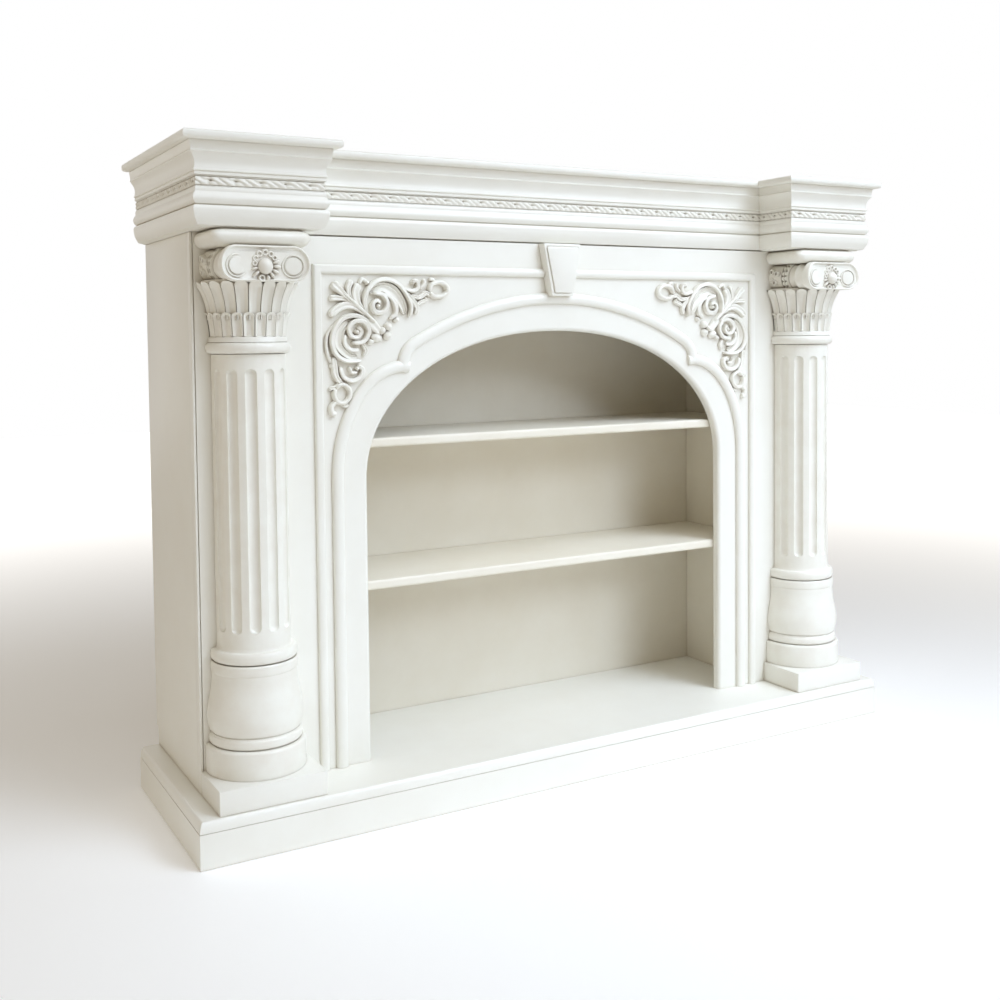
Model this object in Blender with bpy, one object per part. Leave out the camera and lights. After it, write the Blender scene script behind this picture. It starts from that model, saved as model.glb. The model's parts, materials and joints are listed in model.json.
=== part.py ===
# Painted mantelpiece with an arched, shelved recess between two engaged half columns.
# Metres, +Z up. The front faces -Y, the wall is at +Y, and the origin is on the floor
# under the middle of the whole piece.

import math

import bmesh
import bpy
from mathutils import Vector

for old_object in list(bpy.data.objects):
    bpy.data.objects.remove(old_object, do_unlink=True)


# Fits shared by every piece
JOINT_GAP = 0.0003          # paint-line gap between pieces that touch
EMBED = 0.0012              # how far carved forms of one casting run into each other

# Carcass
TOTAL_HEIGHT = 1.200
CARCASS_WIDTH = 1.4724      # across the outer faces of the side panels
CARCASS_DEPTH = 0.316       # face of the arched front to the wall
SIDE_THICKNESS = 0.018
FRONT_THICKNESS = 0.018
BACK_THICKNESS = 0.012
CEILING_THICKNESS = 0.018
RECESS_SIDE_REACH = 0.2082  # outer face of a side panel in to the recess
RECESS_DEPTH = 0.2514       # face of the arched front to the back board
WALL_THICKNESS = 0.018
NOTCH_HEIGHT = 0.036        # cut-out for a skirting board at the back
NOTCH_DEPTH = 0.015
SIDE_ARRIS = 0.003

# Base slab and plinth blocks
SLAB_HEIGHT = 0.079
SLAB_SIDE_REACH = 0.0361    # beyond the side panels
SLAB_BLOCK_MARGIN = 0.0094  # in front of the plinth blocks
NOSING_HEIGHT = 0.0185      # rounded upper edge of the slab
NOSING_REACH = 0.0080
NOSING_QUIRK = 0.0020       # small step under the rounded edge
BLOCK_WIDTH = 0.1886
BLOCK_REACH = 0.1101        # in front of the arched front
BLOCK_HEIGHT = 0.0416

# Columns
AXIS_FORWARD = 0.014        # column axis in front of the arched front
DRUM_RADIUS = 0.0862
DRUM_HEIGHT = 0.0490
DRUM_ARRIS = 0.0060         # rounded upper shoulder
BULB_HEIGHT = 0.1425        # from the drum to the foot of the shaft
BULB_RADIUS = 0.0827
BULB_FOOT_RADIUS = 0.0800
BULB_WAIST_RADIUS = 0.0778
BULB_NECK_RADIUS = 0.0733
BULB_COLLAR_RADIUS = 0.0750
SHAFT_FOOT_RADIUS = 0.0630
SHAFT_TOP_RADIUS = 0.0628
SHAFT_TORUS_RADIUS = 0.0744
SHAFT_TORUS_HEIGHT = 0.0205
FLUTE_PITCH = 30.0          # degrees round the shaft
FLUTE_WIDTH = 0.0198
FLUTE_DEPTH = 0.0060
FLUTE_LOW_MARGIN = 0.0525   # foot of the shaft to the foot of the flutes
FLUTE_HIGH_MARGIN = 0.0256  # top of the flutes to the top of the shaft

# Capitals
ASTRAGAL_RADIUS = 0.0722
ASTRAGAL_HEIGHT = 0.0200
FILLET_RADIUS = 0.0663
FILLET_HEIGHT = 0.0100
LEAF_COUNT = 11             # leaves in each tier of the half bell
LOWER_LEAF_HEIGHT = 0.0395
UPPER_LEAF_HEIGHT = 0.0510
BELL_FOOT_RADIUS = 0.0633
LOWER_TIP_RADIUS = 0.0738
UPPER_TIP_RADIUS = 0.0890
LEAF_RIDGE = 0.0016         # raised rim along each leaf
LEAF_GROOVE = 0.0028        # valley between two leaves
VOLUTE_HEIGHT = 0.0600
VOLUTE_HALF_WIDTH = 0.0770
VOLUTE_REACH = 0.1120       # front of the volute face from the arched front
VOLUTE_EYE_SPACING = 0.0955
VOLUTE_EYE_HEIGHT = 0.0260  # above the underside of the volutes
VOLUTE_EYE_RADIUS = 0.0190
VOLUTE_EYE_RELIEF = 0.0030
FLOWER_RADIUS = 0.0235
FLOWER_RELIEF = 0.0130
ABACUS_HALF_WIDTH = 0.0870
ABACUS_HEIGHT = 0.0290
ABACUS_REACH = 0.1045
ABACUS_FLARE = 0.0110       # from its foot to its upper edge
ABACUS_CORNER = 0.0160

# Entablature
BREAK_REACH = 0.0885        # break over the columns in front of the arched front
BREAK_WIDTH = 0.1897
CENTRE_SETBACK = 0.0120     # middle stretch behind the face of the arched front
CORNICE_THICKNESS = 0.018
BED_HEIGHT = 0.0640
BAND_HEIGHT = 0.0180
BAND_REACH = 0.0135
BUD_PITCH = 0.0385
BUD_RELIEF = 0.0035
CROWN_HEIGHT = 0.0543
TOP_THICKNESS = 0.0145
TOP_OVERHANG = 0.0410
TOP_ROUND = 0.0040          # rounding of the top board's edge
SOFFIT_THICKNESS = 0.012

# Arched front
JAMB_REACH = 0.3197         # outer face of a side panel in to the opening
ARCH_CROWN_DROP = 0.1728    # underside of the cornice down to the top of the arch
ARCH_RISE = 0.2755
ARCH_FULLNESS = 2.12        # 2 is an ellipse, more is squarer
ARCH_STEPS = 32
OPENING_ROUND = 0.008       # rounded edge round the opening
SHELF_THICKNESS = 0.018
SHELF_SETBACK = 0.020       # shelf fronts behind the face of the arched front
LOWER_SHELF_TOP = 0.4113
UPPER_SHELF_TOP = 0.6788

# Applied mouldings, carved corners and keystone
PANEL_SIDE_MARGIN = 0.0340  # centre line of the cusped jamb to the upright bead's
PANEL_TOP_MARGIN = 0.0495   # crown of the cusped moulding to the level bead
PANEL_BEAD_WIDTH = 0.0170
PANEL_BEAD_RELIEF = 0.0080
CUSP_BEAD_WIDTH = 0.0220
CUSP_BEAD_RELIEF = 0.0095
CUSP_JAMB_MARGIN = 0.0595   # opening's edge to the moulding's centre line
CUSP_CROWN_MARGIN = 0.0650  # top of the arch to the moulding's centre line
CUSP_LOBE_WIDTH = 0.1340    # lower arc, from the jamb in to the cusp
CUSP_LOBE_HEIGHT = 0.2020
CUSP_SPRING_RISE = 0.0100   # lower arc's springing above the arch's
CUSP_RADIUS = 0.634         # of the upper arc
CUSP_TURN = 0.045           # tight turn at the end of the upper arc
KEY_TOP_WIDTH = 0.0860
KEY_FOOT_WIDTH = 0.0500
KEY_LAP = 0.0072            # foot of the keystone over the cusped moulding
KEY_RELIEF = 0.0220
KEY_FACE_INSET = 0.0045
KEY_FACE_RELIEF = 0.0030
SCROLL_RELIEF = 0.0120
SCROLL_CORNER_GAP = 0.0080  # panel bead centre line to the carved corner's frame
SCROLL_UNIT = 0.001         # length of one unit of the scroll drawing

# Places worked out from the sizes above
WALL_Y = (CARCASS_DEPTH + BREAK_REACH + TOP_OVERHANG) / 2
FRONT_Y = WALL_Y - CARCASS_DEPTH
AXIS_Y = FRONT_Y - AXIS_FORWARD
BACKING_Y = FRONT_Y - JOINT_GAP
BAND_FOOT_DROP = TOP_THICKNESS + CROWN_HEIGHT + BAND_HEIGHT + 2 * JOINT_GAP
TOP_FOOT = TOTAL_HEIGHT - TOP_THICKNESS
BAND_FOOT = TOTAL_HEIGHT - BAND_FOOT_DROP
CROWN_FOOT = BAND_FOOT + BAND_HEIGHT + JOINT_GAP
CORNICE_FOOT = BAND_FOOT - JOINT_GAP - BED_HEIGHT
SIDE_TOP = CORNICE_FOOT - JOINT_GAP
BREAK_INNER = CARCASS_WIDTH / 2 - BREAK_WIDTH
RECESS_WIDTH = CARCASS_WIDTH - 2 * RECESS_SIDE_REACH
OPENING_WIDTH = CARCASS_WIDTH - 2 * JAMB_REACH
ARCH_SPRING = CORNICE_FOOT - ARCH_CROWN_DROP - ARCH_RISE
COLUMN_X = CARCASS_WIDTH / 2 - BREAK_WIDTH / 2
BLOCK_TOP = SLAB_HEIGHT + JOINT_GAP + BLOCK_HEIGHT
DRUM_FOOT = BLOCK_TOP + JOINT_GAP
BULB_FOOT = DRUM_FOOT + DRUM_HEIGHT + JOINT_GAP
SHAFT_FOOT = BULB_FOOT + BULB_HEIGHT + JOINT_GAP
ABACUS_TOP = CORNICE_FOOT - JOINT_GAP
ABACUS_FOOT = ABACUS_TOP - ABACUS_HEIGHT
VOLUTE_FOOT = ABACUS_FOOT + EMBED - VOLUTE_HEIGHT
UPPER_TIP = VOLUTE_FOOT + EMBED
LOWER_TIP = UPPER_TIP - UPPER_LEAF_HEIGHT
LEAF_FOOT = LOWER_TIP - LOWER_LEAF_HEIGHT
CAPITAL_FOOT = LEAF_FOOT - FILLET_HEIGHT - ASTRAGAL_HEIGHT
SHAFT_TOP = CAPITAL_FOOT - JOINT_GAP
CUSP_JAMB_X = OPENING_WIDTH / 2 + CUSP_JAMB_MARGIN
CUSP_X = CUSP_JAMB_X - CUSP_LOBE_WIDTH
CUSP_SPRING = ARCH_SPRING + CUSP_SPRING_RISE
CUSP_Z = CUSP_SPRING + CUSP_LOBE_HEIGHT
CUSP_CROWN = ARCH_SPRING + ARCH_RISE + CUSP_CROWN_MARGIN
PANEL_BEAD_X = CUSP_JAMB_X + PANEL_SIDE_MARGIN
PANEL_BEAD_Z = CUSP_CROWN + PANEL_TOP_MARGIN
KEY_SEAT = CUSP_CROWN + CUSP_BEAD_WIDTH / 2 + JOINT_GAP
KEY_FOOT = KEY_SEAT - KEY_LAP
CEILING_FOOT = SIDE_TOP - CEILING_THICKNESS
SIDES = {"left": -1, "right": 1}


def lacquer(name, colour, roughness):
    """One paint finish as a Principled material."""
    material = bpy.data.materials.new(name)
    material.use_nodes = True
    shader = material.node_tree.nodes["Principled BSDF"]
    shader.inputs["Base Color"].default_value = (*colour, 1.0)
    shader.inputs["Roughness"].default_value = roughness
    shader.inputs["Metallic"].default_value = 0.0
    material.diffuse_color = (*colour, 1.0)
    return material


BOARD_PAINT = (0.86, 0.84, 0.78)
RECESS_PAINT = (0.80, 0.79, 0.74)
CAST_PAINT = (0.88, 0.86, 0.80)


def to_object(name, body, colour, roughness=0.38, smooth_angle=30.0):
    """Put a closed bmesh body in the scene under its own name and finish."""
    mesh = bpy.data.meshes.new(name)
    body.to_mesh(mesh)
    body.free()
    mesh.shade_smooth()
    mesh.set_sharp_from_angle(angle=math.radians(smooth_angle))
    piece = bpy.data.objects.new(name, mesh)
    piece.data.materials.append(lacquer(name + "_paint", colour, roughness))
    bpy.context.scene.collection.objects.link(piece)
    return piece


def loft(body, rings):
    """Join closed rings of equal length into one capped body."""
    rows = [[body.verts.new(point) for point in ring] for ring in rings]
    count = len(rows[0])
    for low, high in zip(rows, rows[1:]):
        for index in range(count):
            after = (index + 1) % count
            body.faces.new((low[index], low[after], high[after], high[index]))
    body.faces.new(list(reversed(rows[0])))
    body.faces.new(rows[-1])
    bmesh.ops.recalc_face_normals(body, faces=body.faces)
    return body


def lofted(rings):
    return loft(bmesh.new(), rings)


def box(low, high):
    """A board between two corners."""
    floor = [(low[0], low[1]), (high[0], low[1]), (high[0], high[1]), (low[0], high[1])]
    return lofted([[Vector((x, y, z)) for x, y in floor] for z in (low[2], high[2])])


def fuse(target, additions):
    """Unite loose bodies with a target, as they are one casting."""
    for addition in additions:
        joint = target.modifiers.new("fuse", "BOOLEAN")
        joint.operation = "UNION"
        joint.solver = "EXACT"
        joint.object = addition
        graph = bpy.context.evaluated_depsgraph_get()
        united = bpy.data.meshes.new_from_object(target.evaluated_get(graph))
        target.modifiers.remove(joint)
        target.data = united
        bpy.data.objects.remove(addition, do_unlink=True)
    return target


def mirrored(piece, name):
    """The same piece for the other side of the centre line."""
    body = bmesh.new()
    body.from_mesh(piece.data)
    for vertex in body.verts:
        vertex.co.x = -vertex.co.x
    bmesh.ops.reverse_faces(body, faces=body.faces)
    return to_object(name, body, CAST_PAINT)


# Half-round work: every ring runs round the front and closes flat on the arched front

def arc_angles(steps):
    """Angles from the front of the column, from one side of its flat back to the other."""
    return [math.pi * (index / steps - 0.5) for index in range(steps + 1)]


def half_ring(centre_x, radii, angles, height):
    """One level of an engaged column; its ends lie on the flat back."""
    ring = []
    last = len(angles) - 1
    for index, angle in enumerate(angles):
        radius = radii[index] if isinstance(radii, list) else radii
        x = centre_x + radius * math.sin(angle)
        y = AXIS_Y - radius * math.cos(angle)
        if index in (0, last):
            y = BACKING_Y
        ring.append(Vector((x, y, height[index] if isinstance(height, list) else height)))
    return ring


def turned(centre_x, profile, steps):
    """A half-round turning from (radius, height) pairs, bottom to top."""
    angles = arc_angles(steps)
    return lofted([half_ring(centre_x, radius, angles, height) for radius, height in profile])


def round_over(radius_in, radius_out, low, high, steps):
    """Profile points of a half-round moulding between two heights."""
    points = []
    for index in range(steps + 1):
        turn = math.pi * index / steps
        radius = radius_in + (radius_out - radius_in) * math.sin(turn)
        points.append((radius, low + (high - low) * (1 - math.cos(turn)) / 2))
    return points


def blend(start, end, low, high, steps):
    """Profile points of a soft S between two radii."""
    points = []
    for index in range(1, steps + 1):
        share = index / steps
        ease = share * share * (3 - 2 * share)
        points.append((start + (end - start) * ease, low + (high - low) * share))
    return points


def plinth_block(side):
    centre = side * COLUMN_X
    low = (centre - BLOCK_WIDTH / 2, FRONT_Y - BLOCK_REACH, SLAB_HEIGHT + JOINT_GAP)
    high = (centre + BLOCK_WIDTH / 2, BACKING_Y, BLOCK_TOP)
    return box(low, high)


def drum(centre_x):
    shoulder = DRUM_FOOT + DRUM_HEIGHT - DRUM_ARRIS
    profile = [(DRUM_RADIUS, DRUM_FOOT)]
    for index in range(4):
        turn = math.pi / 2 * index / 3
        radius = DRUM_RADIUS - DRUM_ARRIS * (1 - math.cos(turn))
        profile.append((radius, shoulder + DRUM_ARRIS * math.sin(turn)))
    return turned(centre_x, profile, 18)


def bulb(centre_x):
    """The vase-shaped foot: ring, waist, belly, neck and collar."""
    ring_top = BULB_FOOT + BULB_HEIGHT * 0.115
    waist = BULB_FOOT + BULB_HEIGHT * 0.150
    belly = BULB_FOOT + BULB_HEIGHT * 0.345
    neck = BULB_FOOT + BULB_HEIGHT * 0.80
    collar = BULB_FOOT + BULB_HEIGHT * 0.87
    top = BULB_FOOT + BULB_HEIGHT
    profile = round_over(BULB_FOOT_RADIUS - 0.002, BULB_FOOT_RADIUS, BULB_FOOT, ring_top, 2)
    profile += [(BULB_WAIST_RADIUS, ring_top + 0.001), (BULB_WAIST_RADIUS, waist)]
    for index in range(1, 4):
        turn = math.pi / 2 * index / 3
        radius = BULB_WAIST_RADIUS + (BULB_RADIUS - BULB_WAIST_RADIUS) * math.sin(turn)
        profile.append((radius, waist + (belly - waist) * index / 3))
    profile += blend(BULB_RADIUS, BULB_NECK_RADIUS, belly, neck, 4)
    profile.append((BULB_NECK_RADIUS, collar - 0.001))
    profile += round_over(BULB_COLLAR_RADIUS - 0.002, BULB_COLLAR_RADIUS, collar, top, 2)
    return turned(centre_x, profile, 16)


def flute_angles():
    """Centres of the flutes that fit between the two edges of the flat back."""
    pitch = math.radians(FLUTE_PITCH)
    half_count = int((math.pi / 2) / pitch)
    return [(index + 0.5) * pitch for index in range(-half_count, half_count)]


def shaft(centre_x):
    """Tapered shaft on its torus, with round-ended flutes."""
    half = FLUTE_WIDTH / 2
    half_angle = half / SHAFT_FOOT_RADIUS
    shares = (-1.0, -0.55, 0.55, 1.0)
    angles = [-math.pi / 2]
    across = [1.0]
    for centre in flute_angles():
        for share in shares:
            angles.append(centre + share * half_angle)
            across.append(abs(share))
    angles.append(math.pi / 2)
    across.append(1.0)

    torus_top = SHAFT_FOOT + SHAFT_TORUS_HEIGHT
    low = SHAFT_FOOT + FLUTE_LOW_MARGIN
    high = SHAFT_TOP - FLUTE_HIGH_MARGIN
    steps = (0.0, 0.25, 1.0)
    rows = round_over(SHAFT_TORUS_RADIUS - 0.004, SHAFT_TORUS_RADIUS, SHAFT_FOOT, torus_top, 4)
    rings = [half_ring(centre_x, radius, angles, height) for radius, height in rows]
    levels = [(torus_top + 0.0005, 0.0)]
    levels += [(low + share * half, share) for share in steps]
    levels += [(high - share * half, share) for share in reversed(steps)]
    levels.append((SHAFT_TOP, 0.0))
    for height, inward in levels:
        climb = (height - torus_top) / (SHAFT_TOP - torus_top)
        base = SHAFT_FOOT_RADIUS + (SHAFT_TOP_RADIUS - SHAFT_FOOT_RADIUS) * climb
        radii = []
        for share in across:
            room = 1.0 - share * share - (1.0 - inward) ** 2
            radii.append(base - FLUTE_DEPTH * math.sqrt(max(room, 0.0)))
        rings.append(half_ring(centre_x, radii, angles, height))
    return lofted(rings)


def bell(centre_x):
    """Astragal, fillet and the leafy bell in two tiers of round-topped leaves."""
    shares = (-1.0, -0.62, 0.62)
    pitch = math.pi / LEAF_COUNT
    angles = []
    across = []
    for leaf in range(LEAF_COUNT):
        for share in shares:
            angles.append(-math.pi / 2 + pitch * (leaf + 0.5 + share / 2))
            across.append(abs(share))
    angles.append(math.pi / 2)
    across.append(1.0)

    astragal_top = CAPITAL_FOOT + ASTRAGAL_HEIGHT
    rows = round_over(ASTRAGAL_RADIUS - 0.006, ASTRAGAL_RADIUS, CAPITAL_FOOT, astragal_top, 4)
    rows += [(FILLET_RADIUS, astragal_top + 0.001), (FILLET_RADIUS, LEAF_FOOT - 0.001)]
    rings = [half_ring(centre_x, radius, angles, height) for radius, height in rows]

    def leaf_row(radius, height, droop, depth):
        """One level of a tier: rims stand out, valleys sink, tips droop at the sides."""
        radii = []
        heights = []
        for share in across:
            rim = LEAF_RIDGE if 0.5 < share < 0.9 else 0.0
            valley = LEAF_GROOVE if share > 0.9 else 0.0
            radii.append(radius + depth * (rim - valley))
            heights.append(height - droop * share * share)
        return half_ring(centre_x, radii, angles, heights)

    waist = BELL_FOOT_RADIUS + 0.0025
    step = 0.0012
    droop = pitch * LOWER_TIP_RADIUS * 0.32
    rings.append(leaf_row(BELL_FOOT_RADIUS, LEAF_FOOT, 0.0, 0.6))
    rings.append(leaf_row(LOWER_TIP_RADIUS - 0.0035, LOWER_TIP - LOWER_LEAF_HEIGHT * 0.4, 0.0, 1.0))
    rings.append(leaf_row(LOWER_TIP_RADIUS, LOWER_TIP - step, droop, 0.8))
    rings.append(leaf_row(waist + 0.001, LOWER_TIP, droop, 0.0))
    rings.append(leaf_row(waist + 0.002, LOWER_TIP + UPPER_LEAF_HEIGHT * 0.12, 0.0, 1.0))
    rings.append(leaf_row((waist + UPPER_TIP_RADIUS) / 2 - 0.004,
                          LOWER_TIP + UPPER_LEAF_HEIGHT * 0.6, 0.0, 1.0))
    rings.append(leaf_row(UPPER_TIP_RADIUS, UPPER_TIP - step, droop, 0.6))
    rings.append(leaf_row(BELL_FOOT_RADIUS, UPPER_TIP + EMBED, 0.0, 0.0))
    return lofted(rings)


def volute_outline(steps):
    """Outline of the volute face round its own centre: round ends, taller above the eyes."""
    reach = VOLUTE_HALF_WIDTH - VOLUTE_EYE_SPACING / 2
    above = VOLUTE_HEIGHT - VOLUTE_EYE_HEIGHT
    points = []
    for quarter in range(4):
        side = 1 if quarter in (0, 3) else -1
        rise = above if quarter in (0, 1) else VOLUTE_EYE_HEIGHT
        for index in range(steps + 1):
            turn = math.pi / 2 * (quarter + index / steps)
            x = side * VOLUTE_EYE_SPACING / 2 + reach * math.cos(turn)
            points.append((x, rise * math.sin(turn)))
        if quarter in (0, 2):
            continue
        points.pop()
    return points


def volute_block(centre_x):
    """Volute face in front, waisted bolsters behind it and a belt against the front."""
    outline = volute_outline(3)
    depth = VOLUTE_REACH
    sections = [
        (0.0, 0.93), (0.025, 1.0), (0.12, 1.0), (0.20, 0.86), (0.36, 0.82),
        (0.46, 0.91), (0.56, 0.82), (0.68, 0.86), (0.74, 0.99), (1.0, 0.99),
    ]
    eye = VOLUTE_FOOT + VOLUTE_EYE_HEIGHT
    middle = (VOLUTE_HEIGHT / 2) - VOLUTE_EYE_HEIGHT
    rings = []
    for share, scale in sections:
        y = FRONT_Y - VOLUTE_REACH + share * (depth - JOINT_GAP)
        ring = []
        for x, z in outline:
            height = eye + middle + (z - middle) * scale
            ring.append(Vector((centre_x + x * scale, y, height)))
        rings.append(ring)
    return lofted(rings)


def turned_button(centre, levels, count, scallop=0.0):
    """A round boss on the volute face, from (radius, relief) levels."""
    rings = []
    for radius, relief in levels:
        ring = []
        for index in range(count):
            turn = 2 * math.pi * index / count
            reach = radius * (1.0 - (scallop if index % 2 and radius > FLOWER_RADIUS * 0.8 else 0.0))
            x = centre[0] + reach * math.cos(turn)
            z = centre[2] + reach * math.sin(turn)
            ring.append(Vector((x, centre[1] - relief, z)))
        rings.append(ring)
    return lofted(rings)


def abacus(centre_x):
    """The moulded top slab of the capital, flaring to its upper edge."""
    levels = [(0.0, 0.0), (0.30, 0.18), (0.62, 0.70), (0.88, 1.0), (1.0, 1.0)]
    rings = []
    for climb, flare in levels:
        height = ABACUS_FOOT + ABACUS_HEIGHT * climb
        half = ABACUS_HALF_WIDTH - ABACUS_FLARE * (1 - flare)
        front = FRONT_Y - ABACUS_REACH + ABACUS_FLARE * (1 - flare)
        ring = [Vector((centre_x - half, BACKING_Y, height))]
        for corner, start in ((-1, math.pi), (1, 1.5 * math.pi)):
            for index in range(4):
                turn = start + math.pi / 2 * index / 3
                x = centre_x + corner * (half - ABACUS_CORNER) + ABACUS_CORNER * math.cos(turn)
                y = front + ABACUS_CORNER + ABACUS_CORNER * math.sin(turn)
                ring.append(Vector((x, y, height)))
        ring.append(Vector((centre_x + half, BACKING_Y, height)))
        rings.append(ring)
    return lofted(rings)


def capital(name, centre_x):
    face_y = FRONT_Y - VOLUTE_REACH + EMBED
    eye_z = VOLUTE_FOOT + VOLUTE_EYE_HEIGHT
    casting = to_object(name, bell(centre_x), CAST_PAINT)
    parts = [volute_block(centre_x), abacus(centre_x)]
    eye_levels = [(VOLUTE_EYE_RADIUS, 0.0), (VOLUTE_EYE_RADIUS, EMBED + VOLUTE_EYE_RELIEF * 0.6),
                  (VOLUTE_EYE_RADIUS * 0.78, EMBED + VOLUTE_EYE_RELIEF)]
    for side in SIDES.values():
        centre = (centre_x + side * VOLUTE_EYE_SPACING / 2, face_y, eye_z)
        parts.append(turned_button(centre, eye_levels, 12))
    flower_levels = [
        (FLOWER_RADIUS, 0.0), (FLOWER_RADIUS * 0.96, EMBED + FLOWER_RELIEF * 0.36),
        (FLOWER_RADIUS * 0.66, EMBED + FLOWER_RELIEF * 0.40),
        (FLOWER_RADIUS * 0.56, EMBED + FLOWER_RELIEF * 0.72),
        (FLOWER_RADIUS * 0.26, EMBED + FLOWER_RELIEF),
    ]
    parts.append(turned_button((centre_x, face_y, eye_z), flower_levels, 12, 0.14))
    bodies = [to_object("addition", body, CAST_PAINT) for body in parts]
    return fuse(casting, bodies)


# Entablature: mitred runs that break forward over the columns

def break_path():
    """Base line of the entablature in plan, from the wall round to the wall."""
    outer = CARCASS_WIDTH / 2
    front = FRONT_Y - BREAK_REACH
    middle = FRONT_Y + CENTRE_SETBACK
    return [
        (-outer, WALL_Y), (-outer, front), (-BREAK_INNER, front), (-BREAK_INNER, middle),
        (BREAK_INNER, middle), (BREAK_INNER, front), (outer, front), (outer, WALL_Y),
    ]


def mitres(path):
    """Outward offset directions at each point of an open right-angled path."""
    normals = []
    for (ax, ay), (bx, by) in zip(path, path[1:]):
        length = math.hypot(bx - ax, by - ay)
        normals.append(Vector(((by - ay) / length, -(bx - ax) / length)))
    if normals[0].x > 0:
        normals = [-normal for normal in normals]
    directions = [normals[0]]
    directions += [first + second for first, second in zip(normals, normals[1:])]
    directions.append(normals[-1])
    return directions


def moulded_run(profile):
    """Sweep a closed (reach, height) profile along the entablature's base line."""
    path = break_path()
    rings = []
    for (x, y), mitre in zip(path, mitres(path)):
        ring = [Vector((x + mitre.x * reach, y + mitre.y * reach, height)) for reach, height in profile]
        rings.append(ring)
    return lofted(rings)


def curve_points(start, end, bulge, steps):
    """Profile points on a bowed line from start to end; positive bulge swells outward."""
    points = []
    for index in range(1, steps + 1):
        share = index / steps
        swell = bulge * math.sin(math.pi * share)
        points.append((start[0] + (end[0] - start[0]) * share + swell,
                       start[1] + (end[1] - start[1]) * share))
    return points


def bed_moulding():
    """Ovolo, quirk, upper roll and lip under the carved band."""
    foot = CORNICE_FOOT
    tall = BED_HEIGHT
    profile = [(-CORNICE_THICKNESS, foot), (0.003, foot), (0.0145, foot + tall * 0.07)]
    profile += curve_points((0.0145, foot + tall * 0.07), (0.0205, foot + tall * 0.46), 0.0025, 4)
    profile.append((0.0180, foot + tall * 0.54))
    profile += curve_points((0.0185, foot + tall * 0.58), (0.0170, foot + tall * 0.93), 0.0045, 4)
    profile += [(0.0172, foot + tall), (-CORNICE_THICKNESS, foot + tall)]
    return moulded_run(profile)


def crown_moulding():
    """Step, cove and leaning fascia under the top board."""
    foot = CROWN_FOOT
    top = TOP_FOOT - JOINT_GAP
    tall = CROWN_HEIGHT - JOINT_GAP
    profile = [(-CORNICE_THICKNESS, foot), (0.0175, foot), (0.0175, foot + tall * 0.10),
               (0.0190, foot + tall * 0.12), (0.0185, foot + tall * 0.18)]
    profile += curve_points((0.0185, foot + tall * 0.18), (0.0250, foot + tall * 0.68), -0.0035, 4)
    profile += [(0.0262, foot + tall * 0.70), (0.0275, top), (-CORNICE_THICKNESS, top)]
    return moulded_run(profile)


def band_stretches():
    """Outer faces of the carved band: start corner, direction, outward normal, length."""
    path = [Vector((x, y)) for x, y in break_path()]
    offsets = mitres(break_path())
    corners = [point + offset * BAND_REACH for point, offset in zip(path, offsets)]
    stretches = []
    for first, second in zip(corners, corners[1:]):
        along = (second - first).normalized()
        stretches.append((first, along, Vector((along.y, -along.x)), (second - first).length))
    if stretches[0][2].x > 0:
        stretches = [(start, along, -normal, length) for start, along, normal, length in stretches]
    return stretches


def carved_band(name):
    """Flat band with a run of slanted buds carved along every visible stretch."""
    foot = BAND_FOOT
    top = foot + BAND_HEIGHT
    profile = [(-CORNICE_THICKNESS, foot), (BAND_REACH, foot), (BAND_REACH, top),
               (-CORNICE_THICKNESS, top)]
    body = moulded_run(profile)
    middle = (foot + top) / 2
    half_tall = BAND_HEIGHT * 0.42
    casting = to_object(name, body, CAST_PAINT)
    buds = bmesh.new()
    for start, along, normal, length in band_stretches():
        count = int((length - BUD_PITCH * 0.5) / BUD_PITCH)
        if count < 1:
            continue
        lead = (length - count * BUD_PITCH) / 2
        for index in range(count):
            centre = start + along * (lead + BUD_PITCH * (index + 0.5))
            add_bud(buds, centre, along, normal, middle, half_tall)
    bmesh.ops.recalc_face_normals(buds, faces=buds.faces)
    addition = to_object("addition", buds, CAST_PAINT)
    return fuse(casting, [addition])


def add_bud(body, centre, along, normal, middle, half_tall):
    """A slanted bud: a raised lozenge on the band."""
    half_long = BUD_PITCH * 0.40
    slant = BUD_PITCH * 0.16
    base = [(-1.0, 0.1), (0.15, -1.0), (1.0, -0.1), (-0.15, 1.0)]

    def place(u, v, relief):
        flat = centre + along * (u * half_long + v * slant) + normal * relief
        return Vector((flat.x, flat.y, middle + v * half_tall))

    sunk = [body.verts.new(place(u, v, -EMBED)) for u, v in base]
    rim = [body.verts.new(place(u * 0.5, v * 0.5, BUD_RELIEF)) for u, v in base]
    for index in range(len(base)):
        after = (index + 1) % len(base)
        body.faces.new((sunk[index], sunk[after], rim[after], rim[index]))
    body.faces.new(list(reversed(sunk)))
    body.faces.new(rim)


def top_board():
    """The mantel shelf: breaks forward with the entablature, rounded front edge."""
    low = TOP_FOOT
    high = TOTAL_HEIGHT
    mid = (low + high) / 2
    path = break_path()
    rings = []
    flat = TOP_THICKNESS / 2 - TOP_ROUND
    for reach, height in ((TOP_OVERHANG - TOP_ROUND, low), (TOP_OVERHANG, mid - flat),
                          (TOP_OVERHANG, mid + flat), (TOP_OVERHANG - TOP_ROUND, high)):
        ring = []
        for (x, y), mitre in zip(path, mitres(path)):
            ring.append(Vector((x + mitre.x * reach, y + mitre.y * reach, height)))
        rings.append(ring)
    return lofted(rings)


def soffit_board(side):
    """Board that closes the underside of a break, behind the bed moulding."""
    inset = CORNICE_THICKNESS + JOINT_GAP
    inner = BREAK_INNER + inset
    outer = CARCASS_WIDTH / 2 - inset
    xs = sorted((side * inner, side * outer))
    low = (xs[0], FRONT_Y - BREAK_REACH + inset, CORNICE_FOOT)
    high = (xs[1], FRONT_Y + FRONT_THICKNESS, CORNICE_FOOT + SOFFIT_THICKNESS)
    return box(low, high)


# Carcass boards

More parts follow.
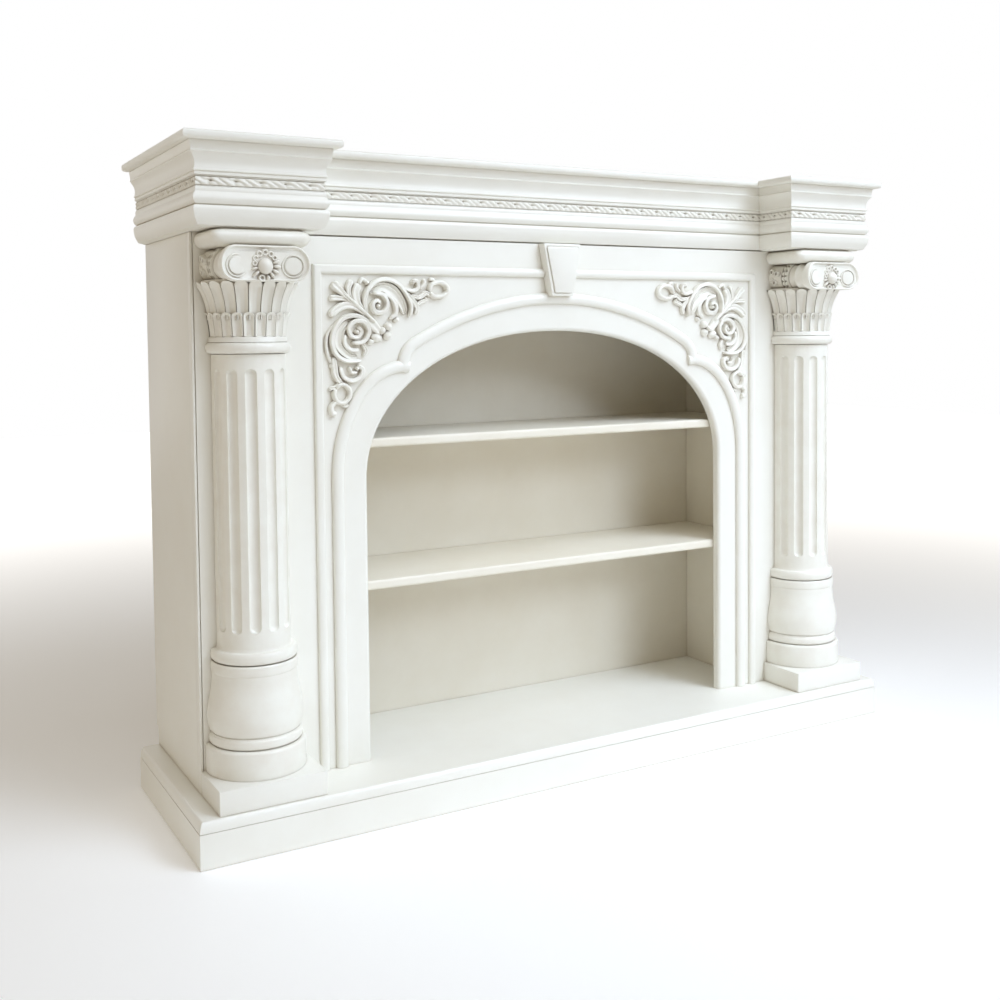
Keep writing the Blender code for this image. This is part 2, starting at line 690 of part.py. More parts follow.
def base_slab():
    """Floor slab of the recess, nosed along its front and sides."""
    half = CARCASS_WIDTH / 2 + SLAB_SIDE_REACH
    back = WALL_Y - NOTCH_DEPTH
    front = FRONT_Y - BLOCK_REACH - SLAB_BLOCK_MARGIN
    shoulder = SLAB_HEIGHT - NOSING_HEIGHT
    levels = [(0.0, 0.0), (shoulder, 0.0), (shoulder + 0.0008, NOSING_QUIRK)]
    for index in range(1, 5):
        turn = math.pi / 2 * index / 4
        inset = NOSING_QUIRK + (NOSING_REACH - NOSING_QUIRK) * (1 - math.cos(turn))
        levels.append((shoulder + NOSING_HEIGHT * math.sin(turn), inset))
    rings = []
    for height, inset in levels:
        ring = [(-half + inset, back), (-half + inset, front + inset),
                (half - inset, front + inset), (half - inset, back)]
        rings.append([Vector((x, y, height)) for x, y in ring])
    return lofted(rings)


def side_panel(side):
    """Outer panel with a skirting notch at the foot of its back edge."""
    outer = side * CARCASS_WIDTH / 2
    inner = side * (CARCASS_WIDTH / 2 - SIDE_THICKNESS)
    front = FRONT_Y + FRONT_THICKNESS + JOINT_GAP
    foot = SLAB_HEIGHT + JOINT_GAP
    outline = [
        (front, foot), (WALL_Y - NOTCH_DEPTH, foot), (WALL_Y - NOTCH_DEPTH, foot + NOTCH_HEIGHT),
        (WALL_Y, foot + NOTCH_HEIGHT), (WALL_Y, SIDE_TOP), (front, SIDE_TOP),
    ]
    return lofted([[Vector((x, y, z)) for y, z in outline] for x in (inner, outer)])


def inner_wall(side):
    near = side * (RECESS_WIDTH / 2 + JOINT_GAP)
    far = side * (RECESS_WIDTH / 2 + JOINT_GAP + WALL_THICKNESS)
    low = (min(near, far), FRONT_Y + FRONT_THICKNESS + JOINT_GAP, SLAB_HEIGHT + JOINT_GAP)
    high = (max(near, far), FRONT_Y + RECESS_DEPTH - JOINT_GAP, CEILING_FOOT - JOINT_GAP)
    return box(low, high)


def ceiling_board():
    half = CARCASS_WIDTH / 2 - SIDE_THICKNESS - JOINT_GAP
    low = (-half, FRONT_Y + FRONT_THICKNESS + JOINT_GAP, CEILING_FOOT)
    high = (half, FRONT_Y + RECESS_DEPTH - JOINT_GAP, CEILING_FOOT + CEILING_THICKNESS)
    return box(low, high)


def back_board():
    half = CARCASS_WIDTH / 2 - SIDE_THICKNESS - JOINT_GAP
    low = (-half, FRONT_Y + RECESS_DEPTH, SLAB_HEIGHT + JOINT_GAP)
    high = (half, FRONT_Y + RECESS_DEPTH + BACK_THICKNESS, TOP_FOOT - JOINT_GAP)
    return box(low, high)


def shelf(top):
    half = RECESS_WIDTH / 2
    low = (-half, FRONT_Y + SHELF_SETBACK, top - SHELF_THICKNESS)
    high = (half, FRONT_Y + RECESS_DEPTH - JOINT_GAP, top)
    return box(low, high)


def arch_point(turn, grow=0.0):
    """A point of the opening's arch; turn runs from 0 at the right springing to pi."""
    power = 2 / ARCH_FULLNESS
    cosine = math.cos(turn)
    x = math.copysign(abs(cosine) ** power, cosine) * (OPENING_WIDTH / 2 + grow)
    return x, ARCH_SPRING + math.sin(turn) ** power * (ARCH_RISE + grow)


def front_panel():
    """Arched front: one board with a rounded edge all round the opening."""
    half = CARCASS_WIDTH / 2
    foot = SLAB_HEIGHT + JOINT_GAP
    top = SIDE_TOP
    opening = OPENING_WIDTH / 2

    def outline(grow, arris):
        """Right foot, up the arch and down again, then round the outside."""
        points = [(opening + grow, foot)]
        for index in range(ARCH_STEPS + 1):
            points.append(arch_point(math.pi * index / ARCH_STEPS, grow))
        points.append((-opening - grow, foot))
        edge = half - arris
        points += [(-edge, foot), (-edge, top), (edge, top), (edge, foot)]
        return points

    levels = [(FRONT_Y, OPENING_ROUND, SIDE_ARRIS)]
    for index in range(1, 4):
        turn = math.pi / 2 * index / 3
        sink = OPENING_ROUND * (1 - math.cos(turn))
        levels.append((FRONT_Y + sink, OPENING_ROUND * (1 - math.sin(turn)),
                       SIDE_ARRIS * (1 - math.sin(turn))))
    levels.append((FRONT_Y + FRONT_THICKNESS, 0.0, 0.0))
    rings = [[Vector((x, y, z)) for x, z in outline(grow, arris)] for y, grow, arris in levels]
    return lofted(rings)


# Applied work on the arched front

def bead_ring(point, across, width, relief, shoulders):
    """Half-round section of a bead, flat on the arched front."""
    ring = []
    for index in range(shoulders + 1):
        turn = math.pi * index / shoulders
        offset = across * (math.cos(turn) * width / 2)
        y = BACKING_Y - relief * math.sin(turn)
        ring.append(Vector((point.x + offset.x, y, point.y + offset.y)))
    return ring


def bead(path, width, relief, shoulders=4):
    """Sweep a half-round bead along (x, z) points of the arched front."""
    points = [Vector(point) for point in path]
    directions = [(b - a).normalized() for a, b in zip(points, points[1:])]
    rings = []
    for index, point in enumerate(points):
        before = directions[max(index - 1, 0)]
        after = directions[min(index, len(directions) - 1)]
        mean = (before + after).normalized()
        across = Vector((-mean.y, mean.x)) / max(mean.dot(after), 0.3)
        rings.append(bead_ring(point, across, width, relief, shoulders))
    return lofted(rings)


def key_half(height):
    """Half width of the keystone's body at a height."""
    climb = (height - KEY_FOOT) / (SIDE_TOP - KEY_FOOT)
    return (KEY_FOOT_WIDTH + (KEY_TOP_WIDTH - KEY_FOOT_WIDTH) * climb) / 2


def panel_bead(side):
    """Frame bead of one half: up the side and level to the keystone."""
    stop = key_half(PANEL_BEAD_Z + PANEL_BEAD_WIDTH / 2) + JOINT_GAP * 2
    path = [(side * PANEL_BEAD_X, SLAB_HEIGHT + JOINT_GAP), (side * PANEL_BEAD_X, PANEL_BEAD_Z),
            (side * stop, PANEL_BEAD_Z)]
    return bead(path, PANEL_BEAD_WIDTH, PANEL_BEAD_RELIEF)


def cusp_upper():
    """Upper arc: a shallow arc over the centre that turns down into a cusp at each end."""
    # Angle where the shallow arc runs into the tight turn that ends upright at the cusp
    meet = math.asin((CUSP_X - CUSP_TURN) / (CUSP_RADIUS - CUSP_TURN))
    centre_z = CUSP_CROWN - CUSP_RADIUS
    path = []
    for index in range(1, 9):
        turn = meet * index / 8
        path.append((CUSP_RADIUS * math.sin(turn), centre_z + CUSP_RADIUS * math.cos(turn)))
    hub_x = (CUSP_RADIUS - CUSP_TURN) * math.sin(meet)
    hub_z = centre_z + (CUSP_RADIUS - CUSP_TURN) * math.cos(meet)
    for index in range(1, 5):
        turn = meet + (math.pi / 2 - meet) * index / 4
        path.append((hub_x + CUSP_TURN * math.sin(turn), hub_z + CUSP_TURN * math.cos(turn)))
    path.append((path[-1][0], min(CUSP_Z, path[-1][1] - CUSP_BEAD_WIDTH * 0.2)))
    left = [(-x, z) for x, z in reversed(path)]
    return left + [(0.0, CUSP_CROWN)] + path


def cusp_lower(side, start_x):
    """Lower arc and jamb: from inside the cusp out to the jamb and down to the slab."""
    reach = CUSP_JAMB_X - CUSP_X
    rise = CUSP_Z - CUSP_SPRING
    path = [(side * start_x, CUSP_Z - CUSP_BEAD_WIDTH * 0.1)]
    for index in range(11):
        turn = math.pi / 2 * index / 10
        path.append((side * (CUSP_X + reach * math.sin(turn)), CUSP_SPRING + rise * math.cos(turn)))
    path.append((side * CUSP_JAMB_X, SLAB_HEIGHT + JOINT_GAP))
    return path


def cusp_moulding(name):
    """Cusped moulding round the arch: upper arc and the two lower arcs, mitred into one."""
    inward = CUSP_X - CUSP_BEAD_WIDTH * 0.75
    lower_runs = []
    for side in SIDES.values():
        lower = bead(cusp_lower(side, inward), CUSP_BEAD_WIDTH, CUSP_BEAD_RELIEF)
        lower_runs.append(to_object("addition", lower, CAST_PAINT))
    upper = to_object(name, bead(cusp_upper(), CUSP_BEAD_WIDTH, CUSP_BEAD_RELIEF), CAST_PAINT)
    return fuse(upper, lower_runs)


def keystone():
    """Tapered block with a slightly raised face; its foot laps over the cusped moulding."""
    lap = CUSP_BEAD_RELIEF + JOINT_GAP
    levels = [
        (0.0, 0.0, KEY_SEAT), (lap, 0.0, KEY_SEAT), (lap + 0.0001, 0.0, KEY_FOOT),
        (KEY_RELIEF, 0.0, KEY_FOOT), (KEY_RELIEF + 0.0004, KEY_FACE_INSET, KEY_FOOT),
        (KEY_RELIEF + KEY_FACE_RELIEF, KEY_FACE_INSET + 0.001, KEY_FOOT),
    ]
    rings = []
    for relief, inset, foot in levels:
        y = BACKING_Y - relief
        low = key_half(foot) - inset
        high = key_half(SIDE_TOP) - inset
        ring = [(-low, foot + inset), (low, foot + inset), (high, SIDE_TOP - inset),
                (-high, SIDE_TOP - inset)]
        rings.append([Vector((x, y, z)) for x, z in ring])
    return lofted(rings)


# Scroll strands of one carved corner, in drawing units from the panel's upper left corner:
# name, points along the strand, width at the start, at the middle and at the end, height
SCROLL_STRANDS = [
    ("root", [(66, -62), (84, -80), (101, -94), (112, -106)], (12, 21, 15), 0.62),
    ("fan_left", [(80, -74), (58, -60), (40, -58), (20, -70)], (9, 18, 13), 0.80),
    ("fan_mid_left", [(80, -70), (54, -52), (36, -44), (15, -44)], (7, 12, 9), 0.74),
    ("fan_corner", [(80, -70), (52, -46), (34, -32), (20, -18)], (7, 12, 14), 0.86),
    ("fan_mid_up", [(80, -70), (60, -46), (50, -28), (52, -10)], (7, 10, 7), 0.72),
    ("fan_up", [(82, -70), (66, -48), (63, -32), (74, -16)], (9, 17, 12), 0.82),
    ("upper_scroll", [(82, -72), (76, -52), (86, -29), (108, -14), (132, -11), (156, -22),
                      (172, -42), (175, -64), (163, -78)], (10, 13, 9), 1.0),
    ("upper_inner", [(92, -30), (114, -23), (134, -32), (144, -52), (136, -68), (120, -80)],
     (7, 15, 9), 0.70),
    ("upper_volute", [(120, -80), (127, -62), (120, -44), (104, -40), (94, -52), (98, -64),
                      (108, -64)], (9, 10, 12), 0.92),
    ("upper_leaf", [(160, -26), (178, -42), (190, -58), (187, -70)], (8, 14, 7), 0.66),
    ("upper_curl", [(158, -22), (180, -32), (190, -22), (182, -12)], (8, 10, 9), 0.72),
    ("upper_link", [(176, -32), (196, -42), (210, -34)], (8, 12, 9), 0.66),
    ("upper_ring", [(203, -30), (213, -17), (232, -11), (250, -17), (255, -29), (242, -40),
                    (224, -42)], (9, 11, 9), 0.74),
    ("upper_ring_foot", [(232, -42), (216, -43), (200, -38)], (8, 9, 10), 0.68),
    ("lower_scroll", [(77, -85), (52, -78), (27, -86), (15, -108), (18, -134), (32, -152),
                      (52, -161), (72, -156)], (10, 13, 9), 1.0),
    ("lower_rim", [(24, -88), (10, -108), (8, -136), (16, -164)], (6, 8, 7), 0.55),
    ("lower_inner", [(28, -104), (34, -121), (48, -131), (66, -128)], (6, 12, 8), 0.66),
    ("lower_volute", [(64, -127), (79, -114), (80, -97), (66, -86), (51, -90), (46, -103),
                      (54, -113), (64, -107)], (9, 10, 12), 0.92),
    ("buds", [(78, -124), (96, -116), (112, -120), (126, -119)], (8, 20, 14), 0.70),
    ("high_bud", [(108, -92), (116, -98), (126, -97)], (10, 15, 13), 0.64),
    ("stem", [(20, -150), (23, -170), (24, -186), (36, -202)], (12, 14, 9), 0.70),
    ("lower_curl", [(26, -164), (37, -184), (53, -191), (67, -184), (62, -171)], (9, 10, 10), 0.72),
    ("lower_ring", [(30, -196), (44, -207), (47, -224), (35, -237), (20, -232)], (9, 10, 9), 0.74),
    ("lower_ring_side", [(24, -236), (14, -218), (19, -203), (34, -198)], (8, 9, 8), 0.68),
    ("tail", [(20, -226), (12, -240), (14, -253), (28, -250)], (8, 11, 11), 0.66),
]


def smooth_points(points, per_span):
    """Points on a smooth curve through the given ones."""
    result = []
    last = len(points) - 1
    for index in range(last):
        a = points[max(index - 1, 0)]
        b = points[index]
        c = points[index + 1]
        d = points[min(index + 2, last)]
        for step in range(per_span):
            t = step / per_span
            result.append(0.5 * (2 * b + (c - a) * t + (2 * a - 5 * b + 4 * c - d) * t ** 2
                                 + (3 * b - a - 3 * c + d) * t ** 3))
    result.append(points[last])
    return result


def strand(points, widths, height, corner_x, corner_z, base_sink):
    """One scroll strand: a tapered raised ribbon on the arched front."""
    per_span = 2 if len(points) > 5 else 1
    path = smooth_points([Vector((x * SCROLL_UNIT, z * SCROLL_UNIT)) for x, z in points], per_span)
    count = len(path) - 1
    rings = []
    for index, point in enumerate(path):
        share = index / count
        if share < 0.5:
            width = widths[0] + (widths[1] - widths[0]) * share * 2
        else:
            width = widths[1] + (widths[2] - widths[1]) * (share - 0.5) * 2
        end = 0.55 if index in (0, count) else 1.0
        width = width * SCROLL_UNIT * (0.7 if index in (0, count) else 1.0)
        before = path[max(index - 1, 0)]
        after = path[min(index + 1, count)]
        along = (after - before).normalized()
        across = Vector((-along.y, along.x))
        relief = SCROLL_RELIEF * height * end
        ring = []
        for offset, rise in ((-0.5, 0.0), (-0.26, 1.0), (0.26, 1.0), (0.5, 0.0)):
            place = point + across * (offset * width)
            sink = base_sink if rise == 0.0 else 0.0
            y = BACKING_Y - relief * rise - sink
            ring.append(Vector((corner_x + place.x, y, corner_z + place.y)))
        rings.append(ring)
    return lofted(rings)


def carved_corner(name):
    """Left scroll ornament: every strand in place, united as one casting."""
    corner_x = -PANEL_BEAD_X + SCROLL_CORNER_GAP
    corner_z = PANEL_BEAD_Z - SCROLL_CORNER_GAP
    bodies = []
    for index, (label, points, widths, height) in enumerate(SCROLL_STRANDS):
        body = strand(points, widths, height, corner_x, corner_z, 0.00002 * index)
        bodies.append(to_object(label if index else name, body, CAST_PAINT))
    return fuse(bodies[0], bodies[1:])


def build():
    to_object("base_slab", base_slab(), BOARD_PAINT)
    to_object("front_panel", front_panel(), BOARD_PAINT)
    to_object("back_board", back_board(), RECESS_PAINT)
    to_object("ceiling_board", ceiling_board(), RECESS_PAINT)
    to_object("shelf_lower", shelf(LOWER_SHELF_TOP), RECESS_PAINT)
    to_object("shelf_upper", shelf(UPPER_SHELF_TOP), RECESS_PAINT)
    to_object("bed_moulding", bed_moulding(), BOARD_PAINT)
    carved_band("carved_band")
    to_object("crown_moulding", crown_moulding(), BOARD_PAINT)
    to_object("top_board", top_board(), BOARD_PAINT)
    to_object("keystone", keystone(), CAST_PAINT, smooth_angle=20.0)
    cusp_moulding("cusped_moulding")

    for word, side in SIDES.items():
        to_object("side_panel_" + word, side_panel(side), BOARD_PAINT)
        to_object("inner_wall_" + word, inner_wall(side), RECESS_PAINT)
        to_object("soffit_board_" + word, soffit_board(side), BOARD_PAINT)
        to_object("plinth_block_" + word, plinth_block(side), BOARD_PAINT)
        to_object("panel_bead_" + word, panel_bead(side), CAST_PAINT)

    left_x = -COLUMN_X
    turned_pieces = {
        "column_drum": to_object("column_drum_left", drum(left_x), CAST_PAINT),
        "column_bulb": to_object("column_bulb_left", bulb(left_x), CAST_PAINT),
        "column_shaft": to_object("column_shaft_left", shaft(left_x), CAST_PAINT),
        "column_capital": capital("column_capital_left", left_x),
        "carved_corner": carved_corner("carved_corner_left"),
    }
    for name, piece in turned_pieces.items():
        mirrored(piece, name + "_right")


build()
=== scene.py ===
# Ivory lacquered mantelpiece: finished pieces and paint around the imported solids
import json
from math import asin, copysign, cos, exp, hypot, pi, radians, sin, sqrt

import bmesh
import bpy
from mathutils import Matrix, Vector

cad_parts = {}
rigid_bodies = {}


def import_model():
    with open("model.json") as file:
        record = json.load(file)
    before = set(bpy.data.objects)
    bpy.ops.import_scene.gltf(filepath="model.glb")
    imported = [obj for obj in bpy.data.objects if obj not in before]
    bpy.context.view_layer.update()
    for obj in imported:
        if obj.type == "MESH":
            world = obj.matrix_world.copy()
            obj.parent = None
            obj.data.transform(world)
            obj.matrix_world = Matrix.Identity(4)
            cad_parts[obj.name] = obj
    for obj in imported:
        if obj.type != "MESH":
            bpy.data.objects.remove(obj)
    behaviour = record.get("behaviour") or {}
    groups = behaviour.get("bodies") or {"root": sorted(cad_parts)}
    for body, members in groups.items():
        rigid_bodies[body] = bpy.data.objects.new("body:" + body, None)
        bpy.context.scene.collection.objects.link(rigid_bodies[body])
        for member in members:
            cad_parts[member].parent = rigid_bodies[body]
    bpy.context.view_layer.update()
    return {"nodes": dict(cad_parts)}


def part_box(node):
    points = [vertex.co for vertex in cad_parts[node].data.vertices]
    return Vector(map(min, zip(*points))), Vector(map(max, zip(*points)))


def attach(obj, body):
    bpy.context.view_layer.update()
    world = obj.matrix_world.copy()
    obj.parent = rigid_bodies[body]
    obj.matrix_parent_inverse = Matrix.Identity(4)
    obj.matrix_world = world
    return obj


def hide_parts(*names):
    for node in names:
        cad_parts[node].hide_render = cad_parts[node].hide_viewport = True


for startUpThing in list(bpy.data.objects):
    bpy.data.objects.remove(startUpThing)

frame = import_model()
nodes = frame["nodes"]
print("frame loaded,", len(nodes), "nodes")

sides = {"left": -1, "right": 1}


def lowOf(node):
    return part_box(node)[0]


def highOf(node):
    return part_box(node)[1]


def heights(node):
    # its foot and its top
    return lowOf(node).z, highOf(node).z


# Places read from the solids, so every piece sits where its node is
frontY = lowOf("front_panel").y          # face of the arched front
seatY = highOf("column_drum_left").y     # back of everything applied to it
wallY = highOf("top_board").y
halfWidth = highOf("front_panel").x


# Paint

def toLinear(hexColour):
    parts = [int(hexColour[i:i + 2], 16) / 255 for i in (1, 3, 5)]
    linear = [p / 12.92 if p <= 0.04045 else ((p + 0.055) / 1.055) ** 2.4 for p in parts]
    return (*linear, 1.0)


def addNode(tree, kind, settings=None, links=None):
    # settings go to the node or to its sockets, links feed its sockets
    node = tree.nodes.new(kind)
    for key, value in (settings or {}).items():
        if isinstance(key, str) and hasattr(node, key) and key not in node.inputs:
            setattr(node, key, value)
        else:
            node.inputs[key].default_value = value
    for key, source in (links or {}).items():
        tree.links.new(source, node.inputs[key])
    return node


def makeLacquer(name, look):
    # sprayed satin lacquer: faint orange peel, slight cloudiness, and painted shade, warmer and darker, in
    # the hollows
    material = bpy.data.materials.new(name)
    material.use_nodes = True
    tree = material.node_tree
    tree.nodes.clear()
    place = addNode(tree, "ShaderNodeTexCoord").outputs["Object"]
    cloud = addNode(tree, "ShaderNodeTexNoise", {"Scale": 1000 / look["cloudMm"], "Detail": 4.0,
                                                 "Roughness": 0.6}, {"Vector": place})
    tone = addNode(tree, "ShaderNodeValToRGB", None, {"Fac": cloud.outputs["Fac"]})
    for stop, position, key in zip(tone.color_ramp.elements, (0.35, 0.65), ("shade", "paint")):
        stop.position = position
        stop.color = toLinear(look[key])
    # the colour sockets of a Mix node are its inputs 6 and 7
    # painted shade: ambient occlusion pulls the colour towards the hollow colour in creases and crevices
    hollow = addNode(tree, "ShaderNodeAmbientOcclusion",
                     {"samples": 6, "Distance": look["paintedShadeMm"] / 1000})
    depth = addNode(tree, "ShaderNodeMapRange", {"From Min": look["paintedShadeStart"],
                                                 "From Max": look["paintedShadeEnd"],
                                                 "To Min": look["paintedShadeAmount"], "To Max": 0.0},
                    {"Value": hollow.outputs["AO"]})
    colour = addNode(tree, "ShaderNodeMix", {"data_type": "RGBA", 7: toLinear(look["hollow"])},
                     {0: depth.outputs["Result"], 6: tone.outputs["Color"]}).outputs[2]
    peel = addNode(tree, "ShaderNodeTexNoise", {"Scale": 1000 / look["peelMm"], "Detail": 2.0,
                                                "Roughness": 0.5}, {"Vector": place})
    swell = addNode(tree, "ShaderNodeTexNoise", {"Scale": 1000 / look["swellMm"], "Detail": 1.0},
                    {"Vector": place})
    fine = addNode(tree, "ShaderNodeBump", {"Strength": look["peelStrength"], "Distance": 0.0004},
                   {"Height": peel.outputs["Fac"]})
    bump = addNode(tree, "ShaderNodeBump", {"Strength": look["swellStrength"], "Distance": 0.002},
                   {"Height": swell.outputs["Fac"], "Normal": fine.outputs["Normal"]})
    gloss = addNode(tree, "ShaderNodeMapRange", {"To Min": look["roughness"] - 0.05,
                                                 "To Max": look["roughness"] + 0.06},
                    {"Value": cloud.outputs["Fac"]})
    shader = addNode(tree, "ShaderNodeBsdfPrincipled", {"IOR": 1.50, "Metallic": 0.0},
                     {"Base Color": colour, "Roughness": gloss.outputs["Result"],
                      "Normal": bump.outputs["Normal"]})
    addNode(tree, "ShaderNodeOutputMaterial", None, {"Surface": shader.outputs["BSDF"]})
    return material


# MDF boards under satin lacquer: even ivory, soft sheen, hardly any relief
# in every look, the hollow colour and its reach, start, end and amount set the painted shade in crevices
boardLook = {"paint": "#F3F1E8", "shade": "#F0EDE3", "hollow": "#B9A88E", "paintedShadeMm": 10,
             "paintedShadeStart": 0.30, "paintedShadeEnd": 0.75, "paintedShadeAmount": 0.35, "cloudMm": 160, "peelMm": 2.4,
             "peelStrength": 0.10, "swellMm": 90, "swellStrength": 0.03, "roughness": 0.36}
# Moulded resin castings under the same lacquer: thicker paint, with a deeper warm brown painted shade in
# the hollows
castLook = dict(boardLook, paint="#F3F1E7", shade="#EFEBE0", hollow="#7C654B", paintedShadeMm=7, paintedShadeStart=0.18,
                paintedShadeEnd=0.70, paintedShadeAmount=0.62, cloudMm=45, peelMm=3.0, peelStrength=0.16, swellMm=25,
                swellStrength=0.05, roughness=0.33)
# Milled MDF mouldings: as the boards, a little more sheen where the spray lay on the curves
mouldLook = dict(boardLook, peelStrength=0.08, hollow="#B5A58B", paintedShadeMm=5, paintedShadeAmount=0.34,
                 roughness=0.31)
# Inside of the recess: thinner, duller coat, and a darker, warmer colour that is painted shade
shadedRecessLook = dict(boardLook, paint="#EEE8D9", shade="#EAE3D2", roughness=0.44, peelStrength=0.14)

boardLacquer = makeLacquer("satin_lacquered_mdf", boardLook)
castLacquer = makeLacquer("satin_lacquered_resin", castLook)
mouldLacquer = makeLacquer("satin_lacquered_moulding", mouldLook)
shadedRecessLacquer = makeLacquer("matt_lacquered_mdf_painted_shade", shadedRecessLook)
print("lacquers mixed")


# Mesh making

def circle(count):
    # even turns once round
    return [2 * pi * i / count for i in range(count)]


def quarter(steps):
    # even turns through a right angle, both ends included
    return [pi / 2 * i / steps for i in range(steps + 1)]


def skin(body, rings):
    # closed rings of equal length joined one to the next, with the first and last closed over
    rows = [[body.verts.new(p) for p in ring] for ring in rings]
    count = len(rows[0])
    for low, high in zip(rows, rows[1:]):
        for i in range(count):
            j = (i + 1) % count
            body.faces.new((low[i], low[j], high[j], high[i]))
    body.faces.new(rows[0][::-1])
    body.faces.new(rows[-1])


def finishPiece(name, body, lacquer, node, crease=32):
    bmesh.ops.recalc_face_normals(body, faces=body.faces)
    mesh = bpy.data.meshes.new(name)
    body.to_mesh(mesh)
    body.free()
    mesh.shade_smooth()
    mesh.set_sharp_from_angle(angle=radians(crease))
    mesh.materials.append(lacquer)
    piece = bpy.data.objects.new(name, mesh)
    bpy.context.scene.collection.objects.link(piece)
    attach(piece, "root")
    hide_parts(node)


def board(body, low, high, arris, steps=2):
    # a board with its edges eased by hand
    corners = [body.verts.new((x, y, z)) for x in (low[0], high[0]) for y in (low[1], high[1])
               for z in (low[2], high[2])]
    loops = ((0, 1, 3, 2), (4, 6, 7, 5), (0, 4, 5, 1), (2, 3, 7, 6), (0, 2, 6, 4), (1, 5, 7, 3))
    faces = [body.faces.new([corners[i] for i in loop]) for loop in loops]
    edges = list({edge for face in faces for edge in face.edges})
    bmesh.ops.bevel(body, geom=edges, offset=arris, segments=steps, profile=0.5, affect="EDGES")


def climbOf(foot, top):
    # gives the height at a share of the way up
    return lambda share: foot + (top - foot) * share


def smoothCurve(points, steps):
    # points on a smooth line through the given ones
    made = []
    last = len(points) - 1
    for i in range(last):
        a, b, c, d = (Vector(points[max(min(k, last), 0)]) for k in (i - 1, i, i + 1, i + 2))
        for k in range(steps):
            t = k / steps
            made.append(0.5 * (2 * b + (c - a) * t + (2 * a - 5 * b + 4 * c - d) * t ** 2
                               + (3 * b - a - 3 * c + d) * t ** 3))
    made.append(Vector(points[last]))
    return made


# Carcass boards

carcass = {"arris": 0.0012, "shelfNose": 0.0045, "sideArris": 0.0028, "panelArris": 0.0008}
notch = {"high": 0.036, "deep": 0.015, "slope": 0.004}  # for a skirting board


def repaint(node, lacquer):
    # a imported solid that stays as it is
    nodes[node].data.materials.clear()
    nodes[node].data.materials.append(lacquer)


def plainBoards():
    for name in ("shelf_lower", "shelf_upper"):
        body = bmesh.new()
        low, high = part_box(name)
        nose = carcass["shelfNose"]
        rings = []
        for x in (low.x, high.x):
            outline = [(high.y, low.z), (high.y, high.z)]
            outline += [(low.y + nose - nose * sin(t), high.z - nose + nose * cos(t)) for t in quarter(6)]
            outline += [(low.y + nose - nose * cos(t), low.z + nose - nose * sin(t)) for t in quarter(6)]
            rings.append([Vector((x, y, z)) for y, z in outline])
        skin(body, rings)
        finishPiece(name.replace("shelf", "recess_shelf"), body, shadedRecessLacquer, name)
    for name in ("back_board", "ceiling_board", "inner_wall_left", "inner_wall_right"):
        repaint(name, shadedRecessLacquer)
    for side in sides:
        repaint("soffit_board_" + side, boardLacquer)
        body = bmesh.new()
        low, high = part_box("plinth_block_" + side)
        board(body, low, high, carcass["arris"])
        finishPiece("plinth_" + side, body, boardLacquer, "plinth_block_" + side)
        sidePanel(side)


def sidePanel(side):
    # outer panel with the skirting notch at its back foot
    node = "side_panel_" + side
    low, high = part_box(node)
    step = low.z + notch["high"]
    outline = [(low.y, low.z), (high.y - notch["deep"], low.z),
               (high.y - notch["deep"], step - notch["slope"]), (high.y, step), (high.y, high.z),
               (low.y, high.z)]
    body = bmesh.new()
    skin(body, [[Vector((x, y, z)) for y, z in outline] for x in (low.x, high.x)])
    edges = [e for e in body.edges if abs(e.verts[0].co.x - e.verts[1].co.x) < 1e-6]
    bmesh.ops.bevel(body, geom=edges, offset=carcass["panelArris"], segments=2, profile=0.5, affect="EDGES")
    finishPiece("outer_panel_" + side, body, boardLacquer, node)


slab = {"noseHigh": 0.0185, "noseReach": 0.0080, "noseBack": 0.0006, "quirkHigh": 0.0012,
        "quirkDeep": 0.0022, "arris": 0.0012, "steps": 10}


def nosedSlab():
    low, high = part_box("base_slab")
    shoulder = high.z - slab["noseHigh"]
    levels = [(low.z, slab["arris"]), (low.z + slab["arris"], 0.0), (shoulder - slab["quirkHigh"], 0.0),
              (shoulder - 0.0004, slab["quirkDeep"]), (shoulder, slab["quirkDeep"])]
    levels += [(shoulder + slab["noseHigh"] * sin(t), slab["noseBack"] + slab["noseReach"] * (1 - cos(t)))
               for t in quarter(slab["steps"])]
    rings = []
    for z, inset in levels:
        x0, x1, y0 = low.x + inset, high.x - inset, low.y + inset
        rings.append([Vector((x0, high.y, z)), Vector((x0, y0, z)), Vector((x1, y0, z)),
                      Vector((x1, high.y, z))])
    body = bmesh.new()
    skin(body, rings)
    finishPiece("nosed_slab", body, boardLacquer, "base_slab", 40)


arch = {"halfWidth": 0.4165, "spring": 0.600, "rise": 0.2755, "fullness": 2.12, "steps": 120,
        "round": 0.008, "edgeStrip": 0.0046, "jointLine": 0.0007}


def archPoint(turn, grow):
    power = 2 / arch["fullness"]
    cosine = cos(turn)
    x = copysign(abs(cosine) ** power, cosine) * (arch["halfWidth"] + grow)
    return x, arch["spring"] + sin(turn) ** power * (arch["rise"] + grow)


